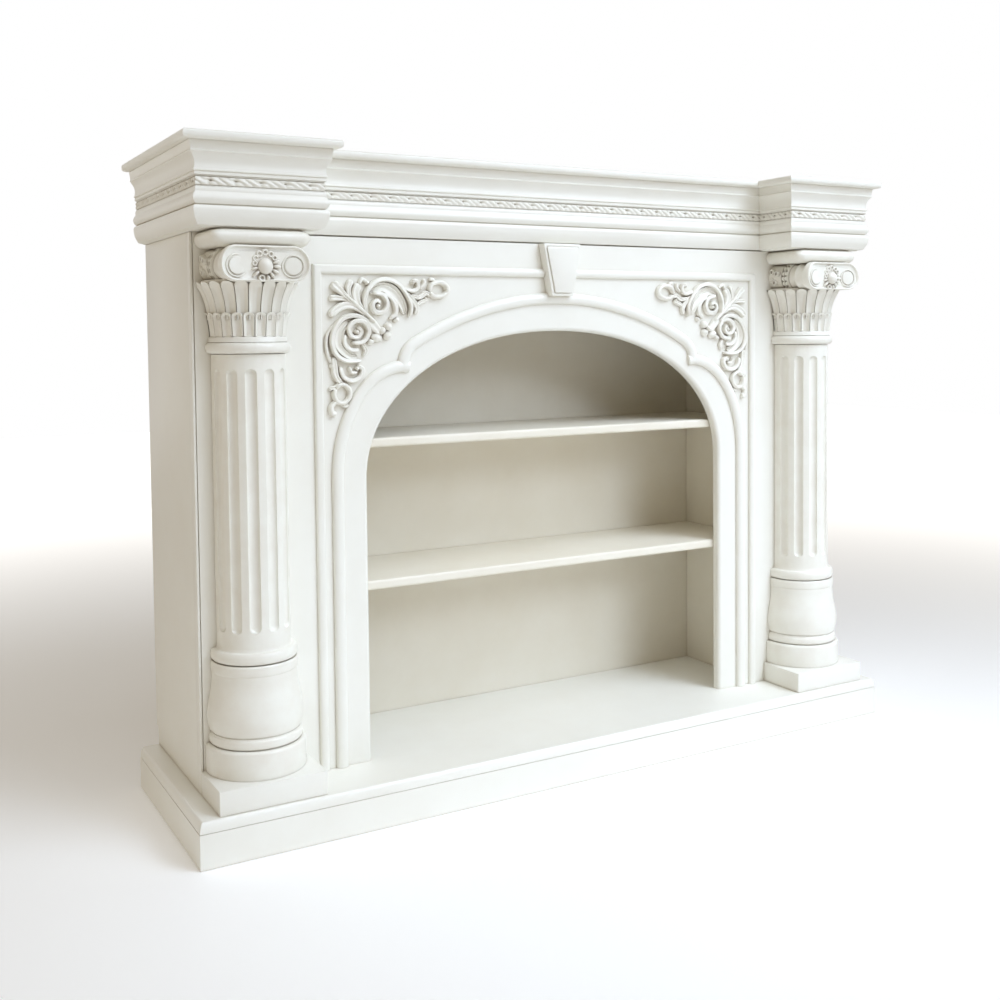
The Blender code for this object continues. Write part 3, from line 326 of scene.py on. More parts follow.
def archedFront():
    low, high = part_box("front_panel")
    levels = [(low.y + arch["round"] * (1 - cos(t)), arch["round"] * (1 - sin(t)),
               carcass["sideArris"] * (1 - sin(t))) for t in quarter(8)]
    levels.append((high.y, 0.0, 0.0))
    rings = []
    for y, grow, arris in levels:
        points = [(arch["halfWidth"] + grow, low.z)]
        points += [archPoint(pi * i / arch["steps"], grow) for i in range(arch["steps"] + 1)]
        edge = arch["edgeStrip"] + arch["jointLine"] + arris * 0.3
        points += [(-arch["halfWidth"] - grow, low.z), (low.x + edge, low.z), (low.x + edge, high.z),
                   (high.x - edge, high.z), (high.x - edge, low.z)]
        rings.append([Vector((x, y, z)) for x, z in points])
    body = bmesh.new()
    skin(body, rings)
    # the lipping on both upright edges, with its fine joint line
    for x0, x1 in ((low.x, low.x + arch["edgeStrip"]), (high.x - arch["edgeStrip"], high.x)):
        board(body, (x0, low.y, low.z), (x1, high.y - 0.0002, high.z), 0.0011, 3)
    finishPiece("arched_front", body, boardLacquer, "front_panel", 25)


plainBoards()
nosedSlab()
archedFront()
print("carcass made")


# Entablature

entablature = {"breakFront": frontY - 0.0885, "breakInner": 0.5465, "middleY": frontY + 0.012,
               "thick": 0.018}


def breakPath():
    # base line in plan, round the piece from wall to wall
    front, inner, middle = entablature["breakFront"], entablature["breakInner"], entablature["middleY"]
    return [(-halfWidth, wallY), (-halfWidth, front), (-inner, front), (-inner, middle),
            (inner, middle), (inner, front), (halfWidth, front), (halfWidth, wallY)]


def outwardMitres(path):
    normals = [Vector((by - ay, ax - bx)).normalized() for (ax, ay), (bx, by) in zip(path, path[1:])]
    if normals[0].x > 0:
        normals = [-n for n in normals]
    return [normals[0], *[a + b for a, b in zip(normals, normals[1:])], normals[-1]]


def mitredRun(body, profile):
    path = breakPath()
    skin(body, [[Vector((x + m.x * reach, y + m.y * reach, z)) for reach, z in profile]
                for (x, y), m in zip(path, outwardMitres(path))])


def bowed(start, end, swell, steps):
    return [(start[0] + (end[0] - start[0]) * t + swell * sin(pi * t), start[1] + (end[1] - start[1]) * t)
            for t in (i / steps for i in range(1, steps + 1))]


def bedProfile():
    # soffit lip, big ovolo, quirk, upper roll and a fillet
    foot, top = heights("bed_moulding")
    at = climbOf(foot, top)
    profile = [(-entablature["thick"], foot), (0.0030, foot), (0.0036, foot + 0.0008), (0.0128, at(0.045))]
    profile += bowed((0.0128, at(0.045)), (0.0212, at(0.42)), 0.0021, 10)
    profile += bowed((0.0212, at(0.42)), (0.0192, at(0.530)), 0.0008, 4)
    profile += [(0.0186, at(0.534)), (0.0152, at(0.538)), (0.0152, at(0.562)), (0.0176, at(0.572))]
    profile += bowed((0.0176, at(0.572)), (0.0174, at(0.86)), 0.0042, 9)
    profile += [(0.0168, at(0.885)), (0.0172, at(0.93)), (0.0166, at(0.985)), (0.0160, top),
                (-entablature["thick"], top)]
    return profile


def crownProfile():
    # fillet, cove with a bright upper arris, leaning fascia
    foot, top = heights("crown_moulding")
    at = climbOf(foot, top)
    profile = [(-entablature["thick"], foot), (0.0168, foot), (0.0178, foot + 0.0008), (0.0178, at(0.085)),
               (0.0170, at(0.105)), (0.0192, at(0.125)), (0.0192, at(0.165)), (0.0180, at(0.185))]
    profile += bowed((0.0180, at(0.185)), (0.0248, at(0.655)), -0.0036, 12)
    profile += [(0.0258, at(0.665)), (0.0262, at(0.690)), (0.0254, at(0.715)), (0.0250, at(0.73)),
                (0.0272, top), (-entablature["thick"], top)]
    return profile


def shelfEdge():
    # bullnose over a small hollow
    foot, top = heights("top_board")
    reach = highOf("top_board").x - halfWidth
    radius = 0.0052
    profile = [(reach - 0.0070, foot), (reach - 0.0060, foot + 0.0006)]
    profile += [(reach - radius + radius * cos(t), foot + radius + 0.0006 + radius * sin(t))
                for t in (radians(a) for a in range(-80, 1, 16))]
    profile += [(reach - radius + radius * cos(t), top - radius + radius * sin(t))
                for t in quarter(6)]
    return profile


def mantelShelf():
    # plan outlines stacked level by level, so the board is whole up to the wall
    body = bmesh.new()
    path = breakPath()
    skin(body, [[Vector((x + m.x * reach, y + m.y * reach, z))
                 for (x, y), m in zip(path, outwardMitres(path))] for reach, z in shelfEdge()])
    finishPiece("mantel_shelf", body, boardLacquer, "top_board", 24)


for label, node, profile in (("bed_run", "bed_moulding", bedProfile()),
                             ("crown_run", "crown_moulding", crownProfile())):
    runBody = bmesh.new()
    mitredRun(runBody, profile)
    finishPiece(label, runBody, mouldLacquer, node, 24)
mantelShelf()

garland = {"pitch": 0.0385, "reach": 0.0118, "lip": 0.0156, "relief": 0.0048, "slant": 0.34, "across": 26,
           "up": 14, "pitDeep": 0.0060, "pitWide": 0.10, "pitTall": 0.26, "proud": 0.0004, "margin": 0.0014}


def garlandRelief(u, v):
    # u along in pitches, v from -1 at the foot to 1 at the top
    crown = sqrt(max(0.0, 1 - v * v))
    lean = u + garland["slant"] * v * 0.5 + 0.05 * sin(pi * v)
    strand = (lean * 3) % 1.0
    ridge = sin(pi * strand) ** 0.7
    weight = (1.0, 0.72, 0.9)[int(lean * 3) % 3]
    du = ((u + 0.16 * v) % 1.0 - 0.5) / garland["pitWide"]
    pit = exp(-(du * du) - ((v - 0.15) / garland["pitTall"]) ** 2)
    return garland["relief"] * crown ** 0.6 * (0.40 + 0.60 * ridge * weight) - garland["pitDeep"] * pit


def carvedBand():
    # a leafy rope runs along every stretch, on a thin backing run
    low, high = heights("carved_band")
    middle, half = (low + high) / 2, (high - low) / 2 - garland["margin"]
    body = bmesh.new()
    reach, lip = garland["reach"], garland["lip"]
    mitredRun(body, [(-entablature["thick"], low), (lip, low), (lip, low + 0.0008),
                     (lip - 0.0008, low + 0.0014), (0.0085, low + 0.0026), (0.0085, high - 0.0026),
                     (lip - 0.0008, high - 0.0014), (lip, high - 0.0008), (lip, high),
                     (-entablature["thick"], high)])
    path = [Vector(p) for p in breakPath()]
    mitres = outwardMitres(breakPath())
    for i in range(len(path) - 1):
        start, end = path[i], path[i + 1]
        length = (end - start).length
        if length < garland["pitch"]:
            continue
        count = max(1, round(length / garland["pitch"]))
        columns = count * garland["across"]
        rows = []
        for k in range(columns + 1):
            share = k / columns
            row = []
            for j in range(garland["up"] + 1):
                v = -1 + 2 * j / garland["up"]
                lift = reach + garland["proud"] + garlandRelief(share * count, v)
                mitre = mitres[i] * (1 - share) + mitres[i + 1] * share
                spot = start + (end - start) * share + mitre * lift
                row.append(body.verts.new((spot.x, spot.y, middle + v * half)))
            rows.append(row)
        for a, b in zip(rows, rows[1:]):
            for j in range(garland["up"]):
                body.faces.new((a[j], b[j], b[j + 1], a[j + 1]))
    finishPiece("garland_band", body, castLacquer, "carved_band", 60)


carvedBand()
print("entablature made")


# Applied mouldings, keystone

beads = {"panelWide": 0.0170, "panelRelief": 0.0080, "cuspWide": 0.0220, "cuspRelief": 0.0095}


def beadSection(width, relief, steps=12):
    # a softly flattened half round on a thin fillet
    points = [(cos(t) * width / 2, relief * (0.12 + 0.88 * sin(t) ** 0.85))
              for t in (pi * i / steps for i in range(steps + 1))]
    return [(width / 2, 0.0), *points, (-width / 2, 0.0)]


def beadAlong(body, path, width, relief):
    # path in (x, z) of the front; bends are mitred
    points = [Vector(p) for p in path]
    ways = [(b - a).normalized() for a, b in zip(points, points[1:])]
    rings = []
    for i, point in enumerate(points):
        before, after = ways[max(i - 1, 0)], ways[min(i, len(ways) - 1)]
        mean = (before + after).normalized()
        across = Vector((-mean.y, mean.x)) / max(mean.dot(after), 0.3)
        rings.append([Vector((point.x + across.x * o, seatY - r, point.y + across.y * o))
                      for o, r in beadSection(width, relief)])
    skin(body, rings)


panelLine = {"x": 0.5100, "z": 0.9900}
cusp = {"jambX": 0.4760, "x": 0.3420, "z": 0.8120, "spring": 0.6100, "crown": 0.9405, "radius": 0.634,
        "turn": 0.045}
key = {"topHalf": 0.0430, "footHalf": 0.0250, "plateInset": 0.0062, "plateRelief": 0.0034,
       "groove": 0.0012}


def keyHalf(z):
    low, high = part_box("keystone")
    return key["footHalf"] + (key["topHalf"] - key["footHalf"]) * (z - low.z) / (high.z - low.z)


def panelBeads():
    foot = highOf("base_slab").z + 0.0003
    for side, sign in sides.items():
        stop = keyHalf(panelLine["z"]) + 0.0008
        body = bmesh.new()
        beadAlong(body, [(sign * panelLine["x"], foot), (sign * panelLine["x"], panelLine["z"]),
                         (sign * stop, panelLine["z"])], beads["panelWide"], beads["panelRelief"])
        finishPiece("frame_bead_" + side, body, mouldLacquer, "panel_bead_" + side, 40)


def cuspedMoulding():
    foot = highOf("base_slab").z + 0.0003
    body = bmesh.new()
    meet = asin((cusp["x"] - cusp["turn"]) / (cusp["radius"] - cusp["turn"]))
    centreZ = cusp["crown"] - cusp["radius"]
    half = [(cusp["radius"] * sin(meet * i / 32), centreZ + cusp["radius"] * cos(meet * i / 32))
            for i in range(33)]
    hubX = (cusp["radius"] - cusp["turn"]) * sin(meet)
    hubZ = centreZ + (cusp["radius"] - cusp["turn"]) * cos(meet)
    half += [(hubX + cusp["turn"] * sin(t), hubZ + cusp["turn"] * cos(t))
             for t in (meet + (pi / 2 - meet) * i / 12 for i in range(1, 13))]
    half.append((half[-1][0], cusp["z"] - 0.004))
    beadAlong(body, [(-x, z) for x, z in half[:0:-1]] + half, beads["cuspWide"], beads["cuspRelief"])
    for sign in sides.values():
        reach, rise = cusp["jambX"] - cusp["x"], cusp["z"] - cusp["spring"]
        path = [(sign * (cusp["x"] - 0.0110), cusp["z"] - 0.0022)]
        path += [(sign * (cusp["x"] + reach * sin(t)), cusp["spring"] + rise * cos(t)) for t in quarter(40)]
        path.append((sign * cusp["jambX"], foot))
        beadAlong(body, path, beads["cuspWide"], beads["cuspRelief"])
    finishPiece("arch_moulding", body, mouldLacquer, "cusped_moulding", 40)


def keystone():
    low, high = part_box("keystone")
    body = bmesh.new()

    def outline(inset, y, corner):
        # tapered outline with the two upper corners rounded
        z0, z1 = low.z + inset, high.z - inset
        a, b = keyHalf(low.z) - inset, keyHalf(high.z) - inset
        points = [(-a, z0), (a, z0)]
        points += [(b - corner + corner * sin(t), z1 - corner + corner * cos(t))
                   for t in reversed(quarter(5))]
        points += [(-b + corner - corner * sin(t), z1 - corner + corner * cos(t)) for t in quarter(5)]
        return [Vector((x, y, z)) for x, z in points]

    face = low.y + key["plateRelief"]
    inset = key["plateInset"]
    # inset, y and corner radius of each outline, from the front board outwards
    levels = [(0.0, seatY, 0.001), (0.0, face + 0.0014, 0.001), (0.0004, face + 0.0005, 0.0016),
              (0.0014, face, 0.002), (inset - 0.0012, face, 0.003),
              (inset - 0.0010, face + key["groove"], 0.003), (inset, face + key["groove"], 0.004),
              (inset, low.y + 0.0016, 0.004), (inset + 0.0005, low.y + 0.0005, 0.004),
              (inset + 0.0018, low.y, 0.004)]
    skin(body, [outline(i, y, c) for i, y, c in levels])
    finishPiece("arch_keystone", body, mouldLacquer, "keystone", 28)


panelBeads()
cuspedMoulding()
keystone()
print("applied mouldings made")


# Columns

column = {"steps": 96, "axisForward": 0.014}
axisY = frontY - column["axisForward"]


def halfRing(centreX, radii, angles, z):
    # one level round the front of a column, closed flat against the arched front
    if not isinstance(radii, list):
        radii = [radii] * len(angles)
    ring = [Vector((centreX + r * sin(a), min(axisY - r * cos(a), seatY), z))
            for r, a in zip(radii, angles)]
    ring[0].y = ring[-1].y = seatY
    return ring


def turnedHalf(body, centreX, profile):
    angles = [pi * (i / column["steps"] - 0.5) for i in range(column["steps"] + 1)]
    skin(body, [halfRing(centreX, r, angles, z) for r, z in profile])


def roll(inner, outer, low, high, steps):
    # half-round moulding between two heights
    return [(inner + (outer - inner) * sin(t), (low + high) / 2 - (high - low) / 2 * cos(t))
            for t in (pi * i / steps for i in range(steps + 1))]


def easeTo(start, end, low, high, steps):
    # a soft S from one radius to the next
    return [(start + (end - start) * t * t * (3 - 2 * t), low + (high - low) * t)
            for t in (i / steps for i in range(1, steps + 1))]


def axisX(side):
    low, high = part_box("plinth_block_" + side)
    return (low.x + high.x) / 2


drum = {"radius": 0.0862, "shoulder": 0.0060, "seat": 0.0740}


def drumProfile(foot, top):
    # upright wall with a soft upper shoulder
    radius, shoulder, seat = drum["radius"], drum["shoulder"], drum["seat"]
    profile = [(radius - 0.0001, foot), (radius, foot + 0.001)]
    profile += [(radius - shoulder + shoulder * cos(t), top - 0.0002 - shoulder + shoulder * sin(t))
                for t in quarter(8)]
    return profile + [(seat, top - 0.0001), (seat, top)]


bulb = {"ring": 0.0800, "belly": 0.0827, "neck": 0.0733, "collar": 0.0750}


def bulbProfile(foot, top):
    # ring, fillet, belly, long neck and collar, with a slot above
    at = climbOf(foot, top)
    profile = [(0.0735, foot), (0.0735, foot + 0.0003)]
    profile += roll(0.0776, bulb["ring"], foot + 0.0003, at(0.113), 8)
    profile += [(0.0773, at(0.116)), (0.0773, at(0.134)), (0.0758, at(0.138)), (0.0758, at(0.150)),
                (0.0779, at(0.155))]
    profile += [(0.0779 + (bulb["belly"] - 0.0779) * sin(t), at(0.155 + 0.19 * t * 2 / pi))
                for t in quarter(12)[1:]]
    profile += easeTo(bulb["belly"], bulb["neck"], at(0.345), at(0.80), 20)
    profile += [(bulb["neck"], at(0.85)), (0.0731, at(0.862))]
    profile += roll(0.0731, bulb["collar"], at(0.865), top - 0.0004, 8)
    profile += [(0.0680, top - 0.0003), (0.0640, top - 0.0003), (0.0640, top)]
    return profile


flutes = {"centres": (-75, -45, -15, 15, 45, 75), "wide": 0.0198, "deep": 0.0066, "lowMargin": 0.0525,
          "highMargin": 0.0256, "columns": 9, "endRows": 9}
shaftSizes = {"foot": 0.0630, "top": 0.0628, "torus": 0.0744, "torusHigh": 0.0205}


def flutedShaft(side):
    node = "column_shaft_" + side
    low, high = heights(node)
    centreX = axisX(side)
    half = flutes["wide"] / 2
    halfAngle = half / shaftSizes["foot"]
    # across runs from 0 at a flute's middle to 1 at its edge, and is more on the plain bands between
    n = flutes["columns"]
    curve = [sin(pi / 2 * (i / n - 1)) for i in range(2 * n + 1)]
    slot = [(-1.18, 2.0), (-1.04, 1.04), *[(share, abs(share)) for share in curve],
            (1.04, 1.04), (1.18, 2.0)]
    columns = [(radians(centre) + share * halfAngle, gap)
               for centre in flutes["centres"] for share, gap in slot]
    angles = [-pi / 2, *[angle for angle, _ in columns], pi / 2]
    across = [2.0, *[gap for _, gap in columns], 2.0]

    torusTop = low + shaftSizes["torusHigh"]
    rings = [halfRing(centreX, 0.0640, angles, low), halfRing(centreX, 0.0640, angles, low + 0.0005)]
    for r, z in roll(0.0700, shaftSizes["torus"], low + 0.0005, torusTop, 10):
        rings.append(halfRing(centreX, r, angles, z))
    rings.append(halfRing(centreX, shaftSizes["foot"] + 0.0022, angles, torusTop + 0.0003))
    rings.append(halfRing(centreX, shaftSizes["foot"] + 0.0006, angles, torusTop + 0.0022))
    fluteLow, fluteHigh = low + flutes["lowMargin"], high - flutes["highMargin"]
    ends = [1 - cos(t) for t in quarter(flutes["endRows"])]
    levels = [(torusTop + 0.0065, 0.0), (fluteLow - 0.002, 0.0)]
    levels += [(fluteLow + e * half, e) for e in ends]
    levels += [(fluteLow + half + (fluteHigh - fluteLow - 2 * half) * i / 8, 1.0) for i in range(1, 8)]
    levels += [(fluteHigh - e * half, e) for e in reversed(ends)]
    levels += [(fluteHigh + 0.002, 0.0), (high - 0.0006, 0.0)]
    for z, inward in levels:
        climb = (z - torusTop) / (high - torusTop)
        base = shaftSizes["foot"] + (shaftSizes["top"] - shaftSizes["foot"]) * climb
        radii = [base - flutes["deep"] * sqrt(max(0.0, 1 - s * s - (1 - inward) ** 2)) for s in across]
        rings.append(halfRing(centreX, radii, angles, z))
    rings.append(halfRing(centreX, shaftSizes["top"] - 0.004, angles, high))
    body = bmesh.new()
    skin(body, rings)
    finishPiece("fluted_shaft_" + side, body, castLacquer, node, 38)


def columnTurnings():
    for side in sides:
        for label, node, makeProfile in (("drum", "column_drum_", drumProfile),
                                         ("vase_foot", "column_bulb_", bulbProfile)):
            body = bmesh.new()
            turnedHalf(body, axisX(side), makeProfile(*heights(node + side)))
            finishPiece(label + "_" + side, body, castLacquer, node + side, 38)
        flutedShaft(side)


columnTurnings()
print("columns made")


# Capitals

bell = {"leaves": 11, "astragal": 0.0722, "fillet": 0.0663, "lowerTip": 0.0738, "upperTip": 0.0888,
        "wrap": 0.28, "leafFoot": 0.0300, "lowerTall": 0.0395, "upperTall": 0.0510, "rootDrop": 0.004,
        "wallDeep": 0.0042, "columns": 16, "rows": 16, "rimWide": 0.0026, "rimHigh": 0.0017,
        "hollow": 0.0034, "thick": 0.0034, "tipRound": 0.62, "edge": 0.0008}


def leafRelief(halfWide, x, overTip, climb):
    # raised rim, hollow middle and thin edge at a place on a leaf
    gap = max(halfWide - hypot(x, overTip / bell["tipRound"]), 0.0)
    rim = bell["rimHigh"] * sin(pi * min(gap / bell["rimWide"], 1.0))
    inside = min(max((gap - bell["rimWide"] * 0.7) / (halfWide * 0.55), 0.0), 1.0)
    shallow = min(1.0, 0.35 + 3.2 * (1 - climb))
    return rim + min(gap, bell["edge"]) - bell["hollow"] * inside * inside * (3 - 2 * inside) * shallow


def leafTier(body, centreX, foot, tip, radiusAt, shift):
    # round-topped tongues, thin at the lip, that reach round to the arched front
    pitch = pi / bell["leaves"]
    first = -pi / 2 - pitch * (1.5 if shift else 1.0)
    limit = pi / 2 + bell["wrap"]
    halfWide = pitch * radiusAt(1.0) / 2
    roundFrom = tip - halfWide * bell["tipRound"]
    lip, back, root = range(bell["rows"] + 1, bell["rows"] + 4)  # rows behind the leaf's face
    for leaf in range(bell["leaves"] + (3 if shift else 2)):
        middle = first + pitch * (leaf + 0.5)
        rows = []
        for j in range(root + 1):
            row = []
            for i in range(bell["columns"] + 1):
                s = sin(pi / 2 * (2 * i / bell["columns"] - 1))
                angle = max(-limit, min(limit, middle + s * pitch / 2 * 0.985))
                x = abs(s) * halfWide
                topZ = roundFrom + bell["tipRound"] * sqrt(max(halfWide ** 2 - x ** 2, 0.0))
                z = foot + (topZ - foot) * min(j / bell["rows"], 1.0)
                climb = (z - foot) / (tip - foot)
                r = radiusAt(climb) + leafRelief(halfWide, x, max(z - roundFrom, 0.0), climb)
                if j == lip:
                    r -= bell["thick"] * 0.5
                    z += 0.0003
                elif j == back:
                    r -= bell["thick"]
                    z -= 0.0006
                elif j == root:
                    r = radiusAt(0.0) - 0.004
                    z -= bell["rootDrop"]
                y = min(axisY - r * cos(angle), seatY)
                row.append(body.verts.new((centreX + r * sin(angle), y, z)))
            rows.append(row)
        for a, b in zip(rows, rows[1:]):
            for i in range(bell["columns"]):
                body.faces.new((a[i], a[i + 1], b[i + 1], b[i]))
        for i in (0, bell["columns"]):
            # side walls of the tongue, down into the core
            outer = [row[i] for row in rows[:-3]]
            axes = [Vector((centreX, axisY, v.co.z)) for v in outer]
            inner = [body.verts.new(axis + (v.co - axis) * (1 - bell["wallDeep"] / bell["lowerTip"]))
                     for axis, v in zip(axes, outer)]
            for k in range(len(inner) - 1):
                body.faces.new((outer[k], outer[k + 1], inner[k + 1], inner[k]))


volute = {"halfWide": 0.0770, "tall": 0.0600, "tuck": 0.0012, "eyeX": 0.0478, "eyeUp": 0.0260,
          "eyeRadius": 0.0148, "reach": 0.1090, "bow": 1.50, "rimWide": 0.0048, "flangeEdge": 0.115,
          "ribFrom": 0.12, "ribTo": 0.50, "beltTo": 0.68, "beadRadius": 0.0050}


def voluteOutline(steps, scale=1.0, inset=0.0):
    # long face with round ends, fuller above the eyes; points relative to the eyes' level
    low, high = inset - volute["eyeUp"], volute["tall"] - volute["eyeUp"] - inset
    reach = volute["halfWide"] - volute["eyeX"] - inset
    points = []
    for corner in range(4):
        sign = 1 if corner in (0, 3) else -1
        rise = high if corner in (0, 1) else -low
        for t in quarter(steps):
            points.append((sign * volute["eyeX"] + reach * cos(pi / 2 * corner + t),
                           rise * sin(pi / 2 * corner + t)))
        if corner in (0, 2):
            span = 10
            start, end = points[-1], (-points[-1][0], points[-1][1])
            points += [(start[0] + (end[0] - start[0]) * k / span, start[1]) for k in range(1, span)]
        else:
            points.pop()
    points.pop()
    middle = (low + high) / 2
    return [(x * scale, middle + (z - middle) * scale) for x, z in points]


def bolsterScale(share):
    # flange, two hollow ribs with a ridge between, the belt's seat, and the part against the front
    start, stop = volute["ribFrom"], volute["ribTo"]
    if share < start:
        return 1.0 if share < volute["flangeEdge"] else 0.993
    if share < stop:
        turn = (share - start) / (stop - start) * 2 % 1.0
        return 0.955 - 0.125 * sin(pi * turn) ** 0.8
    if share < volute["beltTo"] + 0.03:
        return 0.90
    return 0.93 + 0.10 * (share - volute["beltTo"]) / (1 - volute["beltTo"])


def dome(body, centre, radii, tilt=0.0, rings=6, count=14, back=0.3):
    # an egg-shaped boss lying on the front; radii are along, across and out
    rows = []
    for t in quarter(rings):
        row = []
        for a in circle(count):
            u, v = radii[0] * cos(t) * cos(a), radii[1] * cos(t) * sin(a)
            x, z = u * cos(tilt) - v * sin(tilt), u * sin(tilt) + v * cos(tilt)
            row.append(Vector((centre[0] + x, centre[1] - radii[2] * sin(t) * 0.999, centre[2] + z)))
        rows.append(row)
    rows[-1] = [p * 0.02 + Vector((centre[0], centre[1] - radii[2], centre[2])) * 0.98 for p in rows[-1]]
    skin(body, [[p + Vector((0, radii[2] * back, 0)) for p in rows[0]]] + rows)


def buttonRings(body, centre, levels, count, turnOut=0.0):
    # a turned boss from (radius, relief) levels
    rows = []
    for radius, relief in levels:
        turned = [(radius * cos(a), radius * sin(a)) for a in circle(count)]
        rows.append([Vector((x, turnOut * x - relief, z)) + Vector(centre) for x, z in turned])
    skin(body, rows)


def tipCurl(t):
    # the last part of a leaf turns outwards
    return max(0.0, (t - 0.78) / 0.22) ** 2


def lowerRadius(t):
    return 0.0640 + 0.0050 * t ** 1.3 + 0.0032 * tipCurl(t)


def upperRadius(t):
    return 0.0664 + (bell["upperTip"] - 0.0684) * t ** 2.1 + 0.0020 * tipCurl(t)


def capital(side):
    node = "column_capital_" + side
    low, high = heights(node)
    centreX = axisX(side)
    body = bmesh.new()
    # heights from the foot of the casting
    leafFoot = low + bell["leafFoot"]
    lowerTip = leafFoot + bell["lowerTall"]
    upperTip = lowerTip + bell["upperTall"]
    voluteFoot = upperTip - volute["tuck"]
    abacusFoot = voluteFoot + volute["tall"] - volute["tuck"]
    profile = [(0.0590, low), (0.0590, low + 0.0004)]
    profile += roll(0.0650, bell["astragal"], low + 0.0004, low + 0.0192, 12)
    profile += [(0.0668, low + 0.0198), (bell["fillet"], low + 0.0206), (bell["fillet"], low + 0.0272),
                (0.0655, low + 0.0282), (0.0630, low + 0.0296), (0.0622, low + 0.0300), (0.0622, lowerTip),
                (0.0640, lowerTip + 0.012), (0.0680, lowerTip + 0.030), (0.0760, upperTip - 0.004),
                (0.0760, upperTip + 0.004)]
    turnedHalf(body, centreX, profile)
    leafTier(body, centreX, leafFoot - 0.0006, lowerTip, lowerRadius, False)
    leafTier(body, centreX, lowerTip - 0.012, upperTip + 0.0008, upperRadius, True)

    eyeZ = voluteFoot + volute["eyeUp"]
    face = frontY - volute["reach"]
    # shares of the way from the face back to the arched front
    shares = [0.03, 0.05, 0.09, 0.105, volute["flangeEdge"], volute["ribFrom"]]
    shares += [volute["ribFrom"] + (volute["ribTo"] - volute["ribFrom"]) * i / 28 for i in range(1, 29)]
    shares += [0.502, volute["beltTo"] + 0.029, volute["beltTo"] + 0.031, 0.80, 0.9, 0.97, 1.0]
    rings = []
    for share in shares:
        y = face + share * (seatY - face)
        bow = volute["bow"] * max(0.0, 1 - share / 0.3)
        rings.append([Vector((centreX + x, y - bow * x * x, eyeZ + z))
                      for x, z in voluteOutline(14, bolsterScale(share))])
    # the face: a sunk middle inside a rounded raised rim
    faceRings = []
    wide = volute["rimWide"]
    for inset, relief in ((wide * 2.2, -0.0012), (wide * 1.15, -0.0011), (wide, -0.0006),
                          (wide * 0.86, 0.0010), (wide * 0.66, 0.0019), (wide * 0.45, 0.0021),
                          (wide * 0.25, 0.0013), (wide * 0.09, -0.0002), (0.0, -0.0024)):
        faceRings.append([Vector((centreX + x, face - relief - volute["bow"] * x * x, eyeZ + z))
                          for x, z in voluteOutline(14, 1.0, inset)])
    skin(body, faceRings + rings)
    for sign in sides.values():
        centre = (centreX + sign * volute["eyeX"], face - volute["bow"] * volute["eyeX"] ** 2, eyeZ)
        r = volute["eyeRadius"]
        lean = -sign * 2 * volute["bow"] * volute["eyeX"]
        buttonRings(body, centre, [(r * 1.34, -0.003), (r * 1.33, -0.0002), (r * 1.26, 0.0016),
                                   (r * 1.17, 0.0014), (r * 1.08, -0.0024), (r * 1.01, -0.0026),
                                   (r * 0.99, 0.0008), (r * 0.93, 0.0019), (r * 0.80, 0.0021),
                                   (r * 0.3, 0.0021), (r * 0.02, 0.0021)], 48, lean)
    flower(body, (centreX, face, eyeZ))
    belt(body, centreX, eyeZ)
    abacus(body, centreX, abacusFoot, high)
    finishPiece("leafy_capital_" + side, body, castLacquer, node, 42)


def flower(body, centre):
    # a round bud under an arc of pierced petals, leaves to its right, a curl and drops below
    x, y, z = centre
    dome(body, (x, y, z - 0.0005), (0.0136, 0.0142, 0.0150), 0.5, rings=9, count=28)
    for angle, reach, size in ((168, 0.0188, 0.0046), (143, 0.0212, 0.0052), (117, 0.0226, 0.0056),
                               (91, 0.0230, 0.0056), (65, 0.0222, 0.0052), (42, 0.0208, 0.0048)):
        t = radians(angle)
        spot = (x + reach * cos(t), y, z + reach * sin(t) * 0.95)
        buttonRings(body, spot, [(size * 1.12, -0.002), (size * 1.10, 0.0040), (size * 0.92, 0.0064),
                                 (size * 0.66, 0.0066), (size * 0.42, 0.0052), (size * 0.30, 0.0008),
                                 (size * 0.04, 0.0002)], 18)
    for angle, reach, size in ((20, 0.0196, 0.0050), (-3, 0.0206, 0.0054), (-27, 0.0200, 0.0050),
                               (-52, 0.0190, 0.0046), (-166, 0.0186, 0.0046), (-140, 0.0194, 0.0050)):
        t = radians(angle)
        dome(body, (x + reach * cos(t), y, z + reach * sin(t)), (size * 1.5, size * 0.62, 0.0072), t)
    buttonRings(body, (x - 0.0060, y, z - 0.0200), [(0.0062, -0.002), (0.0060, 0.0034), (0.0048, 0.0052),
                                                    (0.0032, 0.0046), (0.0022, 0.0008), (0.0003, 0.0004)],
                20)
    dome(body, (x + 0.0052, y, z - 0.0196), (0.0046, 0.0036, 0.0062), -1.2)


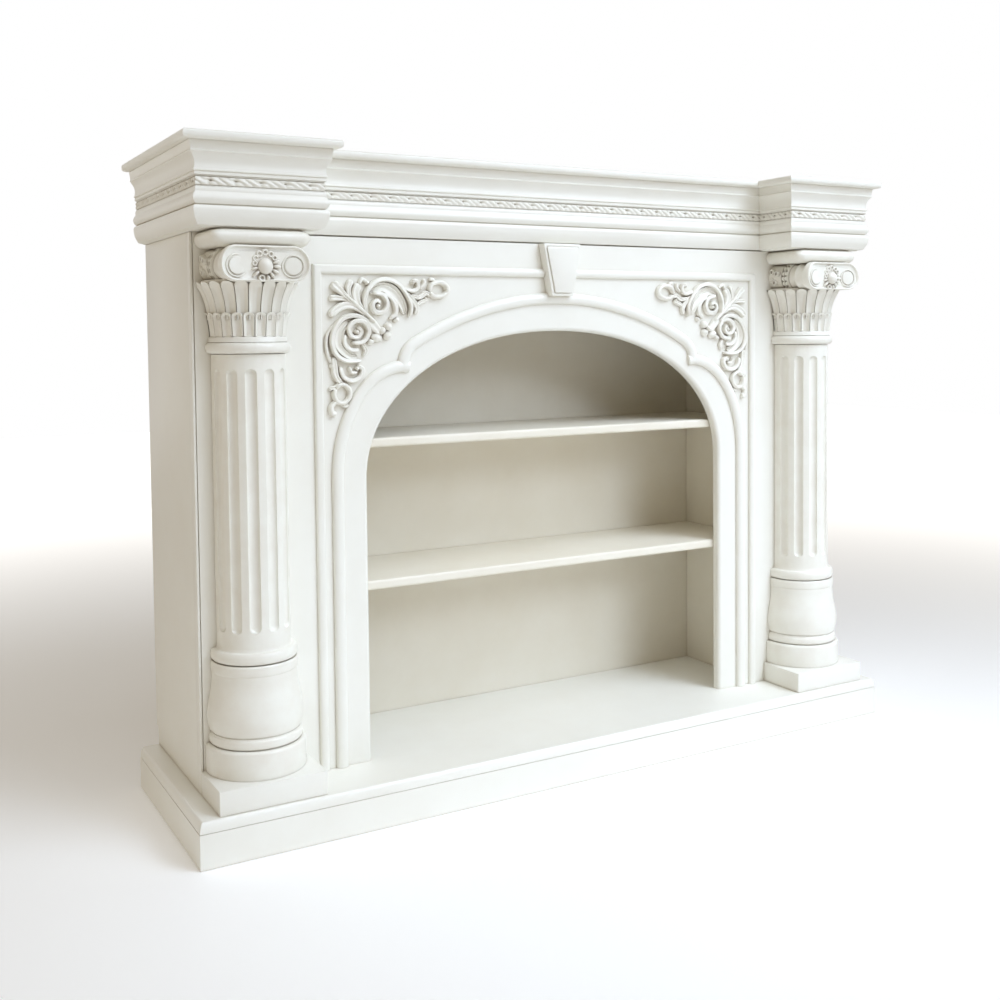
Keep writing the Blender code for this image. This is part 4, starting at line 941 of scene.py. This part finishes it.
def belt(body, centreX, eyeZ):
    # two rows of beads round the bolsters between narrow ridges, and pierced curls beside the arched front
    depth = seatY - frontY + volute["reach"]
    radius = volute["beadRadius"]
    for share in (0.563, 0.640):
        outline = voluteOutline(24, 0.925)
        length = 0.0
        for (ax, az), (bx, bz) in zip(outline, outline[1:] + outline[:1]):
            length += hypot(bx - ax, bz - az)
            if length < radius * 2:
                continue
            length = 0.0
            smallBall(body, Vector((centreX + bx, seatY - (1 - share) * depth, eyeZ + bz)), radius)
    for share in (0.515, 0.602, 0.690):
        rows = []
        for step, swell in ((-0.008, 0.93), (-0.005, 0.985), (0.005, 0.985), (0.008, 0.93)):
            rows.append([Vector((centreX + x, seatY - (1 - share - step) * depth, eyeZ + z))
                         for x, z in voluteOutline(14, swell)])
        skin(body, rows)
    for sign in sides.values():
        for share, up in ((0.80, 0.012), (0.86, -0.008), (0.93, 0.016), (0.94, -0.002)):
            spot = Vector((centreX + sign * 0.0712, seatY - (1 - share) * depth, eyeZ + up))
            rows = []
            for radius, relief in ((0.0068, 0.0), (0.0066, 0.0060), (0.0052, 0.0082), (0.0036, 0.0076),
                                   (0.0026, 0.0030), (0.0004, 0.0026)):
                rows.append([spot + Vector((sign * relief, radius * cos(a), radius * sin(a)))
                             for a in circle(16)])
            skin(body, rows)


def smallBall(body, centre, radius):
    # rings of a bead from pole to pole, along y
    skin(body, [[centre + radius * Vector((sin(t) * cos(a), -cos(t), sin(t) * sin(a))) for a in circle(10)]
                for t in (pi * (0.02 + 0.16 * j) for j in range(7))])


cushion = {"half": 0.0870, "corner": 0.0160, "reach": 0.1045}


def abacus(body, centreX, foot, top):
    # a cushion with soft lower and upper edges
    tall = top - foot
    half, corner, reach = cushion["half"], cushion["corner"], cushion["reach"]
    levels = [(0.0, 0.0140), (0.03, 0.0102), (0.08, 0.0074), (0.16, 0.0048), (0.26, 0.0026), (0.38, 0.0010),
              (0.50, 0.0001), (0.62, 0.0002), (0.72, 0.0012), (0.80, 0.0028), (0.87, 0.0050),
              (0.92, 0.0074), (0.955, 0.0100), (1.0, 0.0120)]
    rings = []
    for climb, inset in levels:
        h, f = half - inset, frontY - reach + inset
        ring = [Vector((centreX - h, seatY, foot + tall * climb))]
        for sign, start in ((-1, pi), (1, 1.5 * pi)):
            ring += [Vector((centreX + sign * (h - corner) + corner * cos(start + t),
                             f + corner + corner * sin(start + t), foot + tall * climb))
                     for t in quarter(8)]
        ring.append(Vector((centreX + h, seatY, foot + tall * climb)))
        rings.append(ring)
    skin(body, rings)


for side in sides:
    capital(side)
print("capitals made")


# Scroll corners: strands in millimetres from the frame's upper left corner
# name, points, widths at start, middle and end, height share, kind of section
scroll = {"cornerX": -0.5020, "cornerZ": 0.9820, "relief": 0.0125}
strands = [
    ("lowerBand", [(50, -86), (34, -104), (32, -128), (50, -148), (66, -150)], (12, 22, 10), 0.60,
     "scroll"),
    ("upperBand", [(94, -34), (116, -24), (138, -32), (154, -50), (164, -74)], (13, 25, 11), 0.62,
     "scroll"),
    ("root", [(74, -66), (88, -82), (104, -98), (114, -110)], (10, 20, 13), 0.58, "leaf"),
    ("fanLeft", [(84, -75), (62, -60), (42, -58), (26, -66), (15, -77)], (8, 16, 15), 0.82, "leaf"),
    ("fanMidLeft", [(72, -64), (48, -48), (30, -44), (14, -45)], (7, 10, 13), 0.76, "leaf"),
    ("fanCorner", [(62, -56), (44, -40), (32, -28), (20, -17)], (8, 13, 19), 0.92, "leaf"),
    ("fanMidUp", [(64, -58), (53, -42), (51, -26), (57, -11)], (7, 10, 13), 0.74, "leaf"),
    ("fanUp", [(80, -68), (68, -52), (64, -34), (72, -18)], (8, 17, 16), 0.84, "leaf"),
    ("fanTip", [(72, -20), (78, -10), (88, -15)], (6, 8, 8), 0.66, "round"),
    ("stalk", [(38, -34), (58, -50), (80, -69), (103, -89)], (5, 9, 7), 0.94, "round"),
    ("upperScroll", [(84, -72), (81, -50), (88, -29), (104, -14), (126, -9), (148, -17), (165, -36),
                     (175, -58), (172, -78)], (8, 9, 7), 1.0, "rim"),
    ("upperInner", [(118, -36), (134, -42), (144, -56), (144, -72), (132, -82)], (7, 10, 7), 0.74, "rim"),
    ("upperVolute", [(98, -34), (118, -38), (127, -54), (119, -69), (103, -69), (97, -57), (105, -48),
                     (113, -54)], (8, 9, 7), 0.96, "rim"),
    ("upperLeaf", [(166, -34), (180, -48), (188, -62), (184, -74)], (8, 12, 7), 0.66, "leaf"),
    ("upperCurl", [(160, -24), (178, -30), (190, -24), (188, -12), (178, -12)], (7, 8, 7), 0.80, "rim"),
    ("upperLink", [(174, -38), (192, -42), (206, -34), (216, -38)], (7, 11, 8), 0.70, "leaf"),
    ("upperSprig", [(186, -58), (198, -50), (212, -46)], (7, 9, 6), 0.62, "leaf"),
    ("upperTwig", [(194, -26), (204, -16), (202, -8)], (6, 8, 6), 0.62, "round"),
    ("upperRing", [(213, -31), (219, -18), (235, -13), (249, -19), (252, -31), (240, -39), (225, -40),
                   (214, -33)], (9, 10, 9), 0.84, "round"),
    ("upperPetal", [(226, -16), (222, -9), (214, -8)], (6, 8, 6), 0.60, "round"),
    ("lowerScroll", [(89, -89), (68, -77), (43, -79), (24, -97), (17, -122), (25, -146), (46, -158),
                     (75, -157)], (8, 10, 7), 1.0, "rim"),
    ("lowerEdge", [(22, -92), (9, -112), (8, -138), (16, -162)], (5, 7, 6), 0.50, "round"),
    ("lowerInner", [(44, -110), (42, -126), (54, -138), (70, -138)], (6, 9, 7), 0.70, "rim"),
    ("lowerVolute", [(56, -125), (78, -123), (89, -105), (80, -88), (62, -86), (50, -98), (54, -112),
                     (66, -115), (74, -105), (67, -97)], (8, 9, 7), 0.96, "rim"),
    ("lowerSprig", [(76, -126), (84, -140), (78, -150)], (6, 9, 6), 0.60, "leaf"),
    ("stem", [(20, -150), (22, -170), (25, -186), (36, -201)], (11, 13, 9), 0.72, "leaf"),
    ("lowerCurl", [(32, -168), (38, -186), (54, -194), (71, -188), (76, -174), (65, -167)], (8, 9, 8), 0.82,
     "rim"),
    ("lowerCurlTip", [(50, -168), (55, -179), (66, -179)], (6, 7, 7), 0.70, "round"),
    ("lowerRing", [(23, -208), (35, -200), (48, -207), (51, -221), (41, -233), (27, -232), (20, -219),
                   (23, -208)], (8, 9, 8), 0.84, "round"),
    ("lowerRingLeaf", [(30, -198), (22, -206), (12, -206)], (6, 8, 6), 0.62, "leaf"),
    ("tail", [(26, -230), (15, -240), (17, -252), (24, -253)], (8, 11, 12), 0.72, "round"),
    ("tailLeaf", [(32, -234), (42, -240), (48, -236)], (6, 8, 5), 0.58, "leaf"),
]
# round buds and seeds: place, half sizes along and across, height share, turn in degrees
buds = [(129, -96, 8.6, 8.2, 0.92, 0), (127, -113, 9.0, 8.4, 0.90, 20), (106, -117, 12.0, 8.4, 0.86, -15),
        (117, -104, 8.5, 6.5, 0.84, 40), (146, -84, 6.5, 5.0, 0.66, 20), (94, -124, 8.0, 5.5, 0.66, 10),
        (108, -58, 5.2, 5.0, 1.02, 0), (66, -106, 5.4, 5.2, 1.02, 0), (18, -166, 5.5, 6.0, 0.70, 0),
        (88, -16, 4.4, 4.4, 0.72, 0), (180, -14, 4.4, 4.2, 0.84, 0), (66, -172, 4.6, 4.4, 0.80, 0),
        (251, -26, 5.4, 5.4, 0.86, 0), (206, -44, 4.4, 3.6, 0.66, 0), (14, -208, 4.0, 4.0, 0.60, 0)]


def mirrored(half, crown):
    return [(-across, rise) for across, rise in half] + [(0, crown)] + half[::-1]


# heights across a strand, from one foot to the other
sections = {
    "round": mirrored([(0.5, 0.0), (0.49, 0.35), (0.44, 0.62), (0.34, 0.84), (0.18, 0.97)], 1.0),
    "rim": [(-0.5, 0.0), (-0.5, 0.55), (-0.46, 0.78), (-0.36, 0.95), (-0.20, 1.0), (-0.04, 0.95),
            (0.10, 0.90), (0.24, 0.92), (0.38, 0.86), (0.47, 0.70), (0.5, 0.45), (0.5, 0.0)],
    "scroll": [(-0.5, 0.0), (-0.5, 0.66), (-0.46, 0.92), (-0.39, 1.0), (-0.31, 0.86), (-0.20, 0.50),
               (-0.08, 0.32), (0.04, 0.36), (0.12, 0.62), (0.19, 0.66), (0.26, 0.44), (0.34, 0.52),
               (0.42, 0.86), (0.48, 0.80), (0.5, 0.0)],
    "leaf": mirrored([(0.5, 0.0), (0.49, 0.44), (0.44, 0.72), (0.34, 0.90), (0.22, 0.93), (0.10, 0.83)],
                     0.76),
}


def addStrand(body, sign, points, widths, height, section):
    path = smoothCurve([Vector(p) / 1000 for p in points], 8)
    count = len(path) - 1
    rings = []
    for i, point in enumerate(path):
        share = i / count
        a, b, c = widths
        width = a + (b - a) * share * 2 if share < 0.5 else b + (c - b) * (share - 0.5) * 2
        near = min(share, 1 - share) * count / 4
        taper = sqrt(min(1.0, near * (2 - near))) if near < 1 else 1.0
        along = (path[min(i + 1, count)] - path[max(i - 1, 0)]).normalized()
        across = Vector((-along.y, along.x)) * width / 1000 * max(taper, 0.16)
        rise = scroll["relief"] * height * (0.45 + 0.55 * taper)
        rings.append([Vector((sign * (scroll["cornerX"] + point.x + across.x * o), seatY - rise * r,
                              scroll["cornerZ"] + point.y + across.y * o)) for o, r in section])
    skin(body, rings)


def scrollCorner(side):
    # drawn for the left corner, turned over for the right
    sign = 1 if side == "left" else -1
    body = bmesh.new()
    for _, points, widths, height, kind in strands:
        addStrand(body, sign, points, widths, height, sections[kind])
    for x, z, along, across, height, turn in buds:
        spot = (sign * (scroll["cornerX"] + x / 1000), seatY, scroll["cornerZ"] + z / 1000)
        dome(body, spot, (along / 1000, across / 1000, scroll["relief"] * height), sign * radians(turn), 7,
             16, 0.0)
    finishPiece("scroll_corner_" + side, body, castLacquer, "carved_corner_" + side, 50)


for side in sides:
    scrollCorner(side)
print("scroll corners made")


# Studio: pale floor, soft light, and the photograph's camera

studio = {"floor": "#FBFAF8", "floorGlow": 0.12, "glowNear": 1.2, "glowFar": 4.5, "farGlow": 0.9,
          "floorHalf": 9, "floorZ": -0.0005, "air": "#E8D7BA", "airStrength": 0.31}
softBoxes = {
    "key_softbox": {"spot": (1.9, -2.6, 3.1), "aim": (0.1, -0.1, 0.0), "size": (2.2, 1.8), "power": 18.5,
                    "tint": "#D6E8FF", "spread": 80},
    "fill_softbox": {"spot": (1.0, -2.9, 1.9), "aim": (0.15, 0.1, 0.12), "size": (1.6, 0.8), "power": 3.4,
                     "tint": "#DCEAFF", "spread": 50},
    "top_softbox": {"spot": (0.2, -1.7, 3.3), "aim": (0.1, -1.0, 0), "size": (3.4, 2.2), "power": 48,
                    "tint": "#E9F2FF", "spread": 180},
    "side_softbox": {"spot": (-3.3, 0.1, 1.2), "aim": (-0.8, 0.1, 0.6), "size": (2.0, 2.0), "power": 8.2,
                     "tint": "#FFF6E8", "spread": 180},
}


def studioFloor():
    body = bmesh.new()
    half = studio["floorHalf"]
    body.faces.new([body.verts.new((x * half, y * half, studio["floorZ"]))
                    for x, y in ((-1, -1), (1, -1), (1, 1), (-1, 1))])
    mesh = bpy.data.meshes.new("studio_floor")
    body.to_mesh(mesh)
    body.free()
    floor = bpy.data.objects.new("studio_floor", mesh)
    bpy.context.scene.collection.objects.link(floor)
    paint = bpy.data.materials.new("matt_studio_vinyl")
    paint.use_nodes = True
    paint.cycles.emission_sampling = "NONE"
    shader = paint.node_tree.nodes["Principled BSDF"]
    shader.inputs["Base Color"].default_value = toLinear(studio["floor"])
    shader.inputs["Roughness"].default_value = 0.6
    shader.inputs["Emission Color"].default_value = toLinear("#FFFFFF")
    # seen brighter towards the horizon, where it runs out into the white paper, but no brighter as a light
    tree = paint.node_tree
    place = addNode(tree, "ShaderNodeTexCoord").outputs["Object"]
    away = addNode(tree, "ShaderNodeVectorMath", {"operation": "LENGTH"}, {0: place}).outputs["Value"]
    glow = addNode(tree, "ShaderNodeMapRange", {"interpolation_type": "SMOOTHSTEP",
                                                "From Min": studio["glowNear"],
                                                "From Max": studio["glowFar"],
                                                "To Min": studio["floorGlow"], "To Max": studio["farGlow"]},
                   {"Value": away})
    seen = addNode(tree, "ShaderNodeLightPath").outputs["Is Camera Ray"]
    lit = addNode(tree, "ShaderNodeMix", {"data_type": "FLOAT", "A": studio["floorGlow"]},
                  {"Factor": seen, "B": glow.outputs["Result"]}).outputs["Result"]
    tree.links.new(lit, shader.inputs["Emission Strength"])
    mesh.materials.append(paint)


def softBox(name, box):
    lamp = bpy.data.lights.new(name, "AREA")
    lamp.shape = "RECTANGLE"
    lamp.size, lamp.size_y = box["size"]
    lamp.energy = box["power"]
    lamp.spread = radians(box["spread"])  # 180 is bare, less is behind a grid
    lamp.color = toLinear(box["tint"])[:3]
    holder = bpy.data.objects.new(name, lamp)
    holder.location = box["spot"]
    holder.rotation_euler = (Vector(box["aim"]) - Vector(box["spot"])).to_track_quat("-Z", "Y").to_euler()
    bpy.context.scene.collection.objects.link(holder)


def studioAir():
    world = bpy.data.worlds.new("studio_air")
    bpy.context.scene.world = world
    world.use_nodes = True
    tree = world.node_tree
    tree.nodes.clear()
    air = addNode(tree, "ShaderNodeBackground", {"Color": toLinear(studio["air"]),
                                                 "Strength": studio["airStrength"]})
    paper = addNode(tree, "ShaderNodeBackground", {"Color": toLinear("#FFFFFF"), "Strength": 1.0})
    soft = addNode(tree, "ShaderNodeLightPath").outputs["Is Diffuse Ray"]
    mix = addNode(tree, "ShaderNodeMixShader", None,
                  {0: soft, 1: paper.outputs["Background"], 2: air.outputs["Background"]})
    addNode(tree, "ShaderNodeOutputWorld", None, {"Surface": mix.outputs["Shader"]})


view = {"spot": (-1.2688, -2.0808, 0.8672), "yaw": 0.51876, "pitch": -0.04558, "roll": -0.01035,
        "focalPixels": 1171.69, "imagePixels": 1000, "axisRow": 389.0}


def photoCamera():
    lens = bpy.data.cameras.new("photo_camera")
    lens.sensor_width = 36.0
    lens.lens = 36.0 * view["focalPixels"] / view["imagePixels"]
    lens.shift_y = (view["axisRow"] - view["imagePixels"] / 2) / view["imagePixels"]
    lens.clip_start, lens.clip_end = 0.05, 60
    camera = bpy.data.objects.new("photo_camera", lens)
    yaw, pitch, roll = view["yaw"], view["pitch"], view["roll"]
    forward = Vector((sin(yaw) * cos(pitch), cos(yaw) * cos(pitch), sin(pitch)))
    right = Vector((cos(yaw), -sin(yaw), 0))
    up = right.cross(forward)
    turnedRight = right * cos(roll) + up * sin(roll)
    turnedUp = up * cos(roll) - right * sin(roll)
    turn = Matrix((turnedRight, turnedUp, -forward)).transposed()
    camera.matrix_world = Matrix.Translation(view["spot"]) @ turn.to_4x4()
    bpy.context.scene.collection.objects.link(camera)
    bpy.context.scene.camera = camera


studioFloor()
for boxName, box in softBoxes.items():
    softBox(boxName, box)
studioAir()
photoCamera()
bpy.context.scene.view_settings.view_transform = "Standard"
print("studio set")
